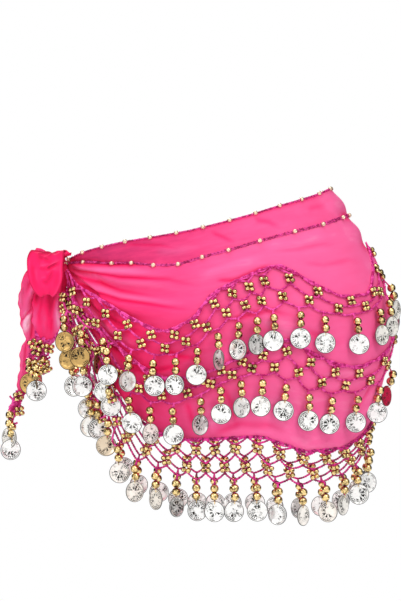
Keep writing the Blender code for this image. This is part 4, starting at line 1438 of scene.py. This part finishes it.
def makeHeap(seed):
    chance = np.random.default_rng(seed)

    def spots(flat, further=0.0):
        around, down = np.reshape(flat, (-1, 2)).T
        return hipPoint(around / 1000, down) + [0.0, -heap["forward"] - further, 0.0]

    middles = spots(heap["clusters"])
    middles = middles + chance.normal(0.0, heap["stray"], middles.shape)
    clusters = (middles, *leaning(chance.uniform(-heap["lean"], heap["lean"], len(middles))))
    paths = []
    for string in heap["strings"]:
        paths += plied(smoothString(spots(string)))
    rows = heap["pendants"]
    places = [spots(row[:8], heap["pendantOut"] + 0.4 * k) for k, row in enumerate(rows)]
    ends, upper, lower, coin = np.swapaxes(places, 0, 1)
    ring = lower * 0.62 + coin * 0.38
    ahead = np.tile([0.0, -1.0, 0.0], (len(rows), 1))
    swing = np.degrees(np.arctan2(coin[:, 0] - ring[:, 0], ring[:, 2] - coin[:, 2]))
    turns = uprightTurns(ahead, [row[8] for row in rows], swing)
    return dressNet(
        "heap", thread, ((), ()), paths, clusters, (ends, upper, lower, ring, coin),
        -0.6 * ahead[:, [1, 0, 2]], ahead, (upper - ends, lower - upper), (turns, turns),
        {"seed": chance.uniform(0, 40, len(rows)), "warm": [row[9] for row in rows]},
    )


onWrap += makeHeap(21)

print("nets on the tie ends")

# the nets draw together here, and their clusters and coins bunch in a heap. flare: how much wider
# the net is than the edge; raised, outs: how much higher and further out each pendant hangs
tieNets = {
    "wide": {
        "nodes": (("wide_tail_net",), ("wide_tail_fringe",)),
        "count": 3, "flare": 0.0, "points": ((-174.0, -36.0, -136.0), (-152.0, -36.0, -136.0)),
        "looks": (-24, 4, 76), "swings": (2, 3, -26), "warm": (0.6, 0.0, 0.5),
        "outs": (2.0, 9.5, 3.0), "raised": (7.0, 0.0, 9.0),
        "clusters": (
            (-166, -40, -119.5), (-159.5, -42, -121), (-162.5, -44, -127), (-149.5, -46, -124.5),
            (-154.5, -43, -139.5), (-161, -43, -140), (-168, -42, -141.5), (-156.5, -46, -146),
            (-164, -46, -147), (-152, -45, -144),
        ),
        "strands": 22, "strandReach": 0.4,     # loose strings, and how far they run past the net
    },
    "long": {
        "nodes": (("long_tail_net",), ("long_tail_fringe",)),
        "count": 2, "flare": 1.5, "points": ((-193.0, -16.0, -182.0), (-186.5, -16.0, -206.0)),
        "looks": (-44, 16), "swings": (4, -6), "warm": (0.3, 0.0),
        "outs": (6.7, 8.9), "raised": (4.0, 4.0),
        "clusters": ((-181.5, -20.0, -173.0), (-180.5, -20.0, -188.0)),
        "strands": 34, "strandReach": 0.15,
    },
}


def makeTieNet(name, end, edgeLine, seed):
    chance = np.random.default_rng(seed)
    left, right = np.array(end["points"])
    last, count = netting["rows"][-1], end["count"]

    def spot(column, share, drop=0.0, out=0.0):
        across = (column + 0.5) / count
        upper = edgeLine(across)[0] + [end["flare"] * (2 * across - 1), -0.6, -0.3]
        lower = left * (1 - across) + right * across
        return upper * (1 - share) + lower * share + np.array([0.0, -out, -drop])

    def line(start, stop):
        t = np.linspace(0.0, 1.0, 6)
        ends = [spot(*place, netting["threadOut"]) for place in (start, stop)]
        path = ends[0] + (ends[1] - ends[0]) * t[:, None]
        path[:, 2] -= netting["sag"] * 4 * t * (1 - t)
        return path

    paths = meshThreads(count, line)
    edge = np.linspace(-0.5, count - 0.5, 24)
    paths += plied([spot(place, 0.0, 0.5 * math.sin(place * 9.0), 1.0) for place in edge])
    # loose strings that run down through the meshes
    least, most = -end["strandReach"], count - 1 + end["strandReach"]
    for start, stop, reach in chance.uniform((least, least, 0.6), (most, most, 1.0), (end["strands"], 3)):
        places = [(start, 0.0), ((start + stop) / 2 + chance.uniform(-0.3, 0.3), reach / 2), (stop, reach)]
        paths += plied(smoothString([spot(*place, 0.0, 1.0) for place in places]))
    middles = np.array(end["clusters"])
    clusters = (middles, *leaning(chance.uniform(-35, 35, len(middles))))
    ahead = np.tile([0.0, -1.0, 0.0], (count, 1))
    points = np.array([spot(j, last, 0.0, netting["threadOut"]) for j in range(count)])

    def hang(drop):
        rows = zip(end["raised"], end["outs"])
        return np.array([spot(j, last, drop - raised, out) for j, (raised, out) in enumerate(rows)])

    beads = [hang(drop) + chance.normal(0.0, 0.5, points.shape) for drop in pendant["beads"]]
    ring, coin = hang(pendant["ring"]), hang(pendant["coin"])
    coin[:, 0] += np.sin(np.radians(end["swings"])) * (pendant["coin"] - pendant["ring"])
    return dressNet(
        name, thread, end["nodes"], paths, clusters, (points, *beads, ring, coin),
        -0.8 * ahead[:, [1, 0, 2]], ahead, (beads[1] - points, beads[1] - beads[0]),
        (uprightTurns(ahead, end["looks"], end["swings"]), uprightTurns(ahead, end["looks"])),
        {"seed": chance.uniform(0, 40, count), "warm": end["warm"]},
    )


onWideTail = makeTieNet("wideTail", tieNets["wide"], wideEdge, 31)
onLongTail = makeTieNet("longTail", tieNets["long"], longEdge, 32)

print("edgings with pearls")

edging = {
    "step": 27.6,          # mm between the pearls on the top edge
    "start": 0.016,
    "ply": (0.44, 0.40, 3.4),
    "topStitch": (0.8, 130), "lineStitch": (1.1, 118),   # how far it zigzags, times round the hips
    # pearls on the stitched line, in thousandths of the girth from the knot
    "linePearls": (11, 52, 101, 130, 159, 189, 219, 252, 293, 341, 386, 432, 470),
}


def wrapOut(around, down):
    return foldHeight(around, down / hemLine(fromKnot(around))) + wrapCreases(around, down)


# on the cloth by its top edge: aside is how far below the stitching, over how far off the cloth
def onCloth(around, stitching, aside, over):
    down = stitching + aside
    place = hipPoint(around, down, wrapOut(around, np.maximum(down, 0.0)) + over)
    place[:, 2] += topRise(fromKnot(around), stitching)
    return place


def makeEdging():
    rim, paths = np.linspace(hips["knotEnd"], 1 - hips["knotEnd"], 1400), []
    for stitching, stitch in ((0 * rim, "topStitch"), (turningLine(fromKnot(rim)), "lineStitch")):
        swing, times = edging[stitch]
        for way in (-1, 1):
            zigzag = way * swing * np.sin(rim * circle * times)
            over = 0.2 + 0.3 * way * np.cos(rim * math.pi * times)
            paths += plied(onCloth(rim, stitching, zigzag, over), edging["ply"])
    chain = makeThreads("edgingChain", paths, edging["ply"][0])
    top = np.arange(edging["start"], 2 * side - edging["start"], edging["step"] / girth(0.0))
    front = np.array(edging["linePearls"]) / 1000
    line = np.concatenate([front, 2 * side - front[::-1]])
    places = np.concatenate([
        onCloth(top, 0 * top, -0.6, 0.8), onCloth(line, turningLine(fromKnot(line)), 0.0, 1.7),
    ])
    chance = np.random.default_rng(5)
    turns = uprightTurns(
        np.tile([0.0, -1.0, 0.0], (len(places), 1)), chance.uniform(0, 360, len(places)),
        chance.uniform(60, 120, len(places)),
    )
    pearls = strewCopies("edgingPearls", pearlBead, places, turns)
    return [finishPiece(chain, edgingThread, "thread"), finishPiece(pearls, pearl, "beads")]


onWrap += makeEdging()

for pattern in (bigBead, smallBead, pearlBead, coinDisc, jumpRing):
    bpy.data.objects.remove(pattern, do_unlink=True)

print("floor, light and camera")

studio = {
    "floor": -0.46,
    "floorRadius": 1.0,
    "distance": 5.0,            # camera to the middle of the hips
    "middle": (0.003, -0.076),  # what the frame is centred on: x, z
    "frame": (401, 601),        # one pixel a millimetre at the front of the hips
    "front": -0.085,
    "sky": (
        (0.0, "#2A2826"), (0.30, "#1C1A18"), (0.50, "#403E3B"), (0.62, "#C2C0BE"), (0.70, "#FFFFFF"),
        (1.0, "#FFFFFF"),
    ),
    "skyStrength": 1.0,
    "aim": (0.0, 0.0, -0.12),   # where the lamps point
}


def makeFloor():
    floor = startShape(
        "floor", bpy.ops.mesh.primitive_circle_add,
        vertices=64, radius=studio["floorRadius"], fill_type="NGON", location=(0, 0, studio["floor"]),
    )
    material, tree, shader = startMaterial("white studio floor")
    shader.inputs["Base Color"].default_value = linearColour("#FFFFFF")
    shader.inputs["Roughness"].default_value = 0.9
    floor.data.materials.append(material)


# white in front, darker at the sides and behind, so that round metal has an outline
def makeSky():
    world = bpy.data.worlds.new("white studio")
    bpy.context.scene.world = world
    world.use_nodes = True
    tree = world.node_tree
    way = addNode(tree, "TexCoord")["Generated"]
    split = addNode(tree, "SeparateXYZ", None, {"Vector": way})
    forward = addNode(tree, "Math", {"operation": "MULTIPLY"}, {0: split["Y"], 1: -0.8})
    ahead = addNode(tree, "Math", {"operation": "MULTIPLY_ADD"}, {0: split["Z"], 1: 0.45, 2: forward[0]})
    share = addNode(tree, "MapRange", None, {"Value": ahead[0], "From Min": -1.0})
    ramp = addNode(tree, "ValToRGB", None, {"Fac": share[0]}, studio["sky"])
    lit = tree.nodes["Background"]
    feedNode(tree, lit, {"Color": ramp["Color"], "Strength": studio["skyStrength"]})
    seen = addNode(tree, "Background", None, {"Color": (1, 1, 1, 1), "Strength": 1.0})
    camera = addNode(tree, "LightPath")["Is Camera Ray"]
    both = addNode(tree, "MixShader", None, {0: camera, 1: lit.outputs[0], 2: seen[0]})
    feedNode(tree, tree.nodes["World Output"], {"Surface": both[0]})


# name, place, size, watts
lamps = (
    ("keySoftbox", (1.1, -1.9, 1.7), 0.9, 18.0),
    ("fillSoftbox", (-1.8, -1.6, 0.5), 0.8, 6.5),
    ("backSoftbox", (-0.6, 2.2, 1.3), 1.2, 36.0),
    ("topSoftbox", (0.0, -0.4, 2.2), 1.2, 11.0),
)


def makeLights():
    for name, place, size, watts in lamps:
        light = bpy.data.lights.new(name, "AREA")
        light.shape = "SQUARE"
        light.size, light.energy = size, watts
        lamp = newObject(name, light)
        lamp.location = place
        aim = mathutils.Vector(np.subtract(studio["aim"], place))
        lamp.rotation_euler = aim.to_track_quat("-Z", "Y").to_euler()


def makeCamera():
    camera = bpy.data.cameras.new("studio camera")
    camera.sensor_width = 36.0
    reach = (studio["distance"] + studio["front"]) / mm
    camera.lens = camera.sensor_width * reach / studio["frame"][1]
    body = newObject("studio camera", camera)
    body.location = (studio["middle"][0], -studio["distance"], studio["middle"][1])
    body.rotation_euler = (math.radians(90), 0.0, 0.0)
    bpy.context.scene.camera = body


makeFloor()
makeSky()
makeLights()
makeCamera()
bpy.context.scene.view_settings.view_transform = "Standard"
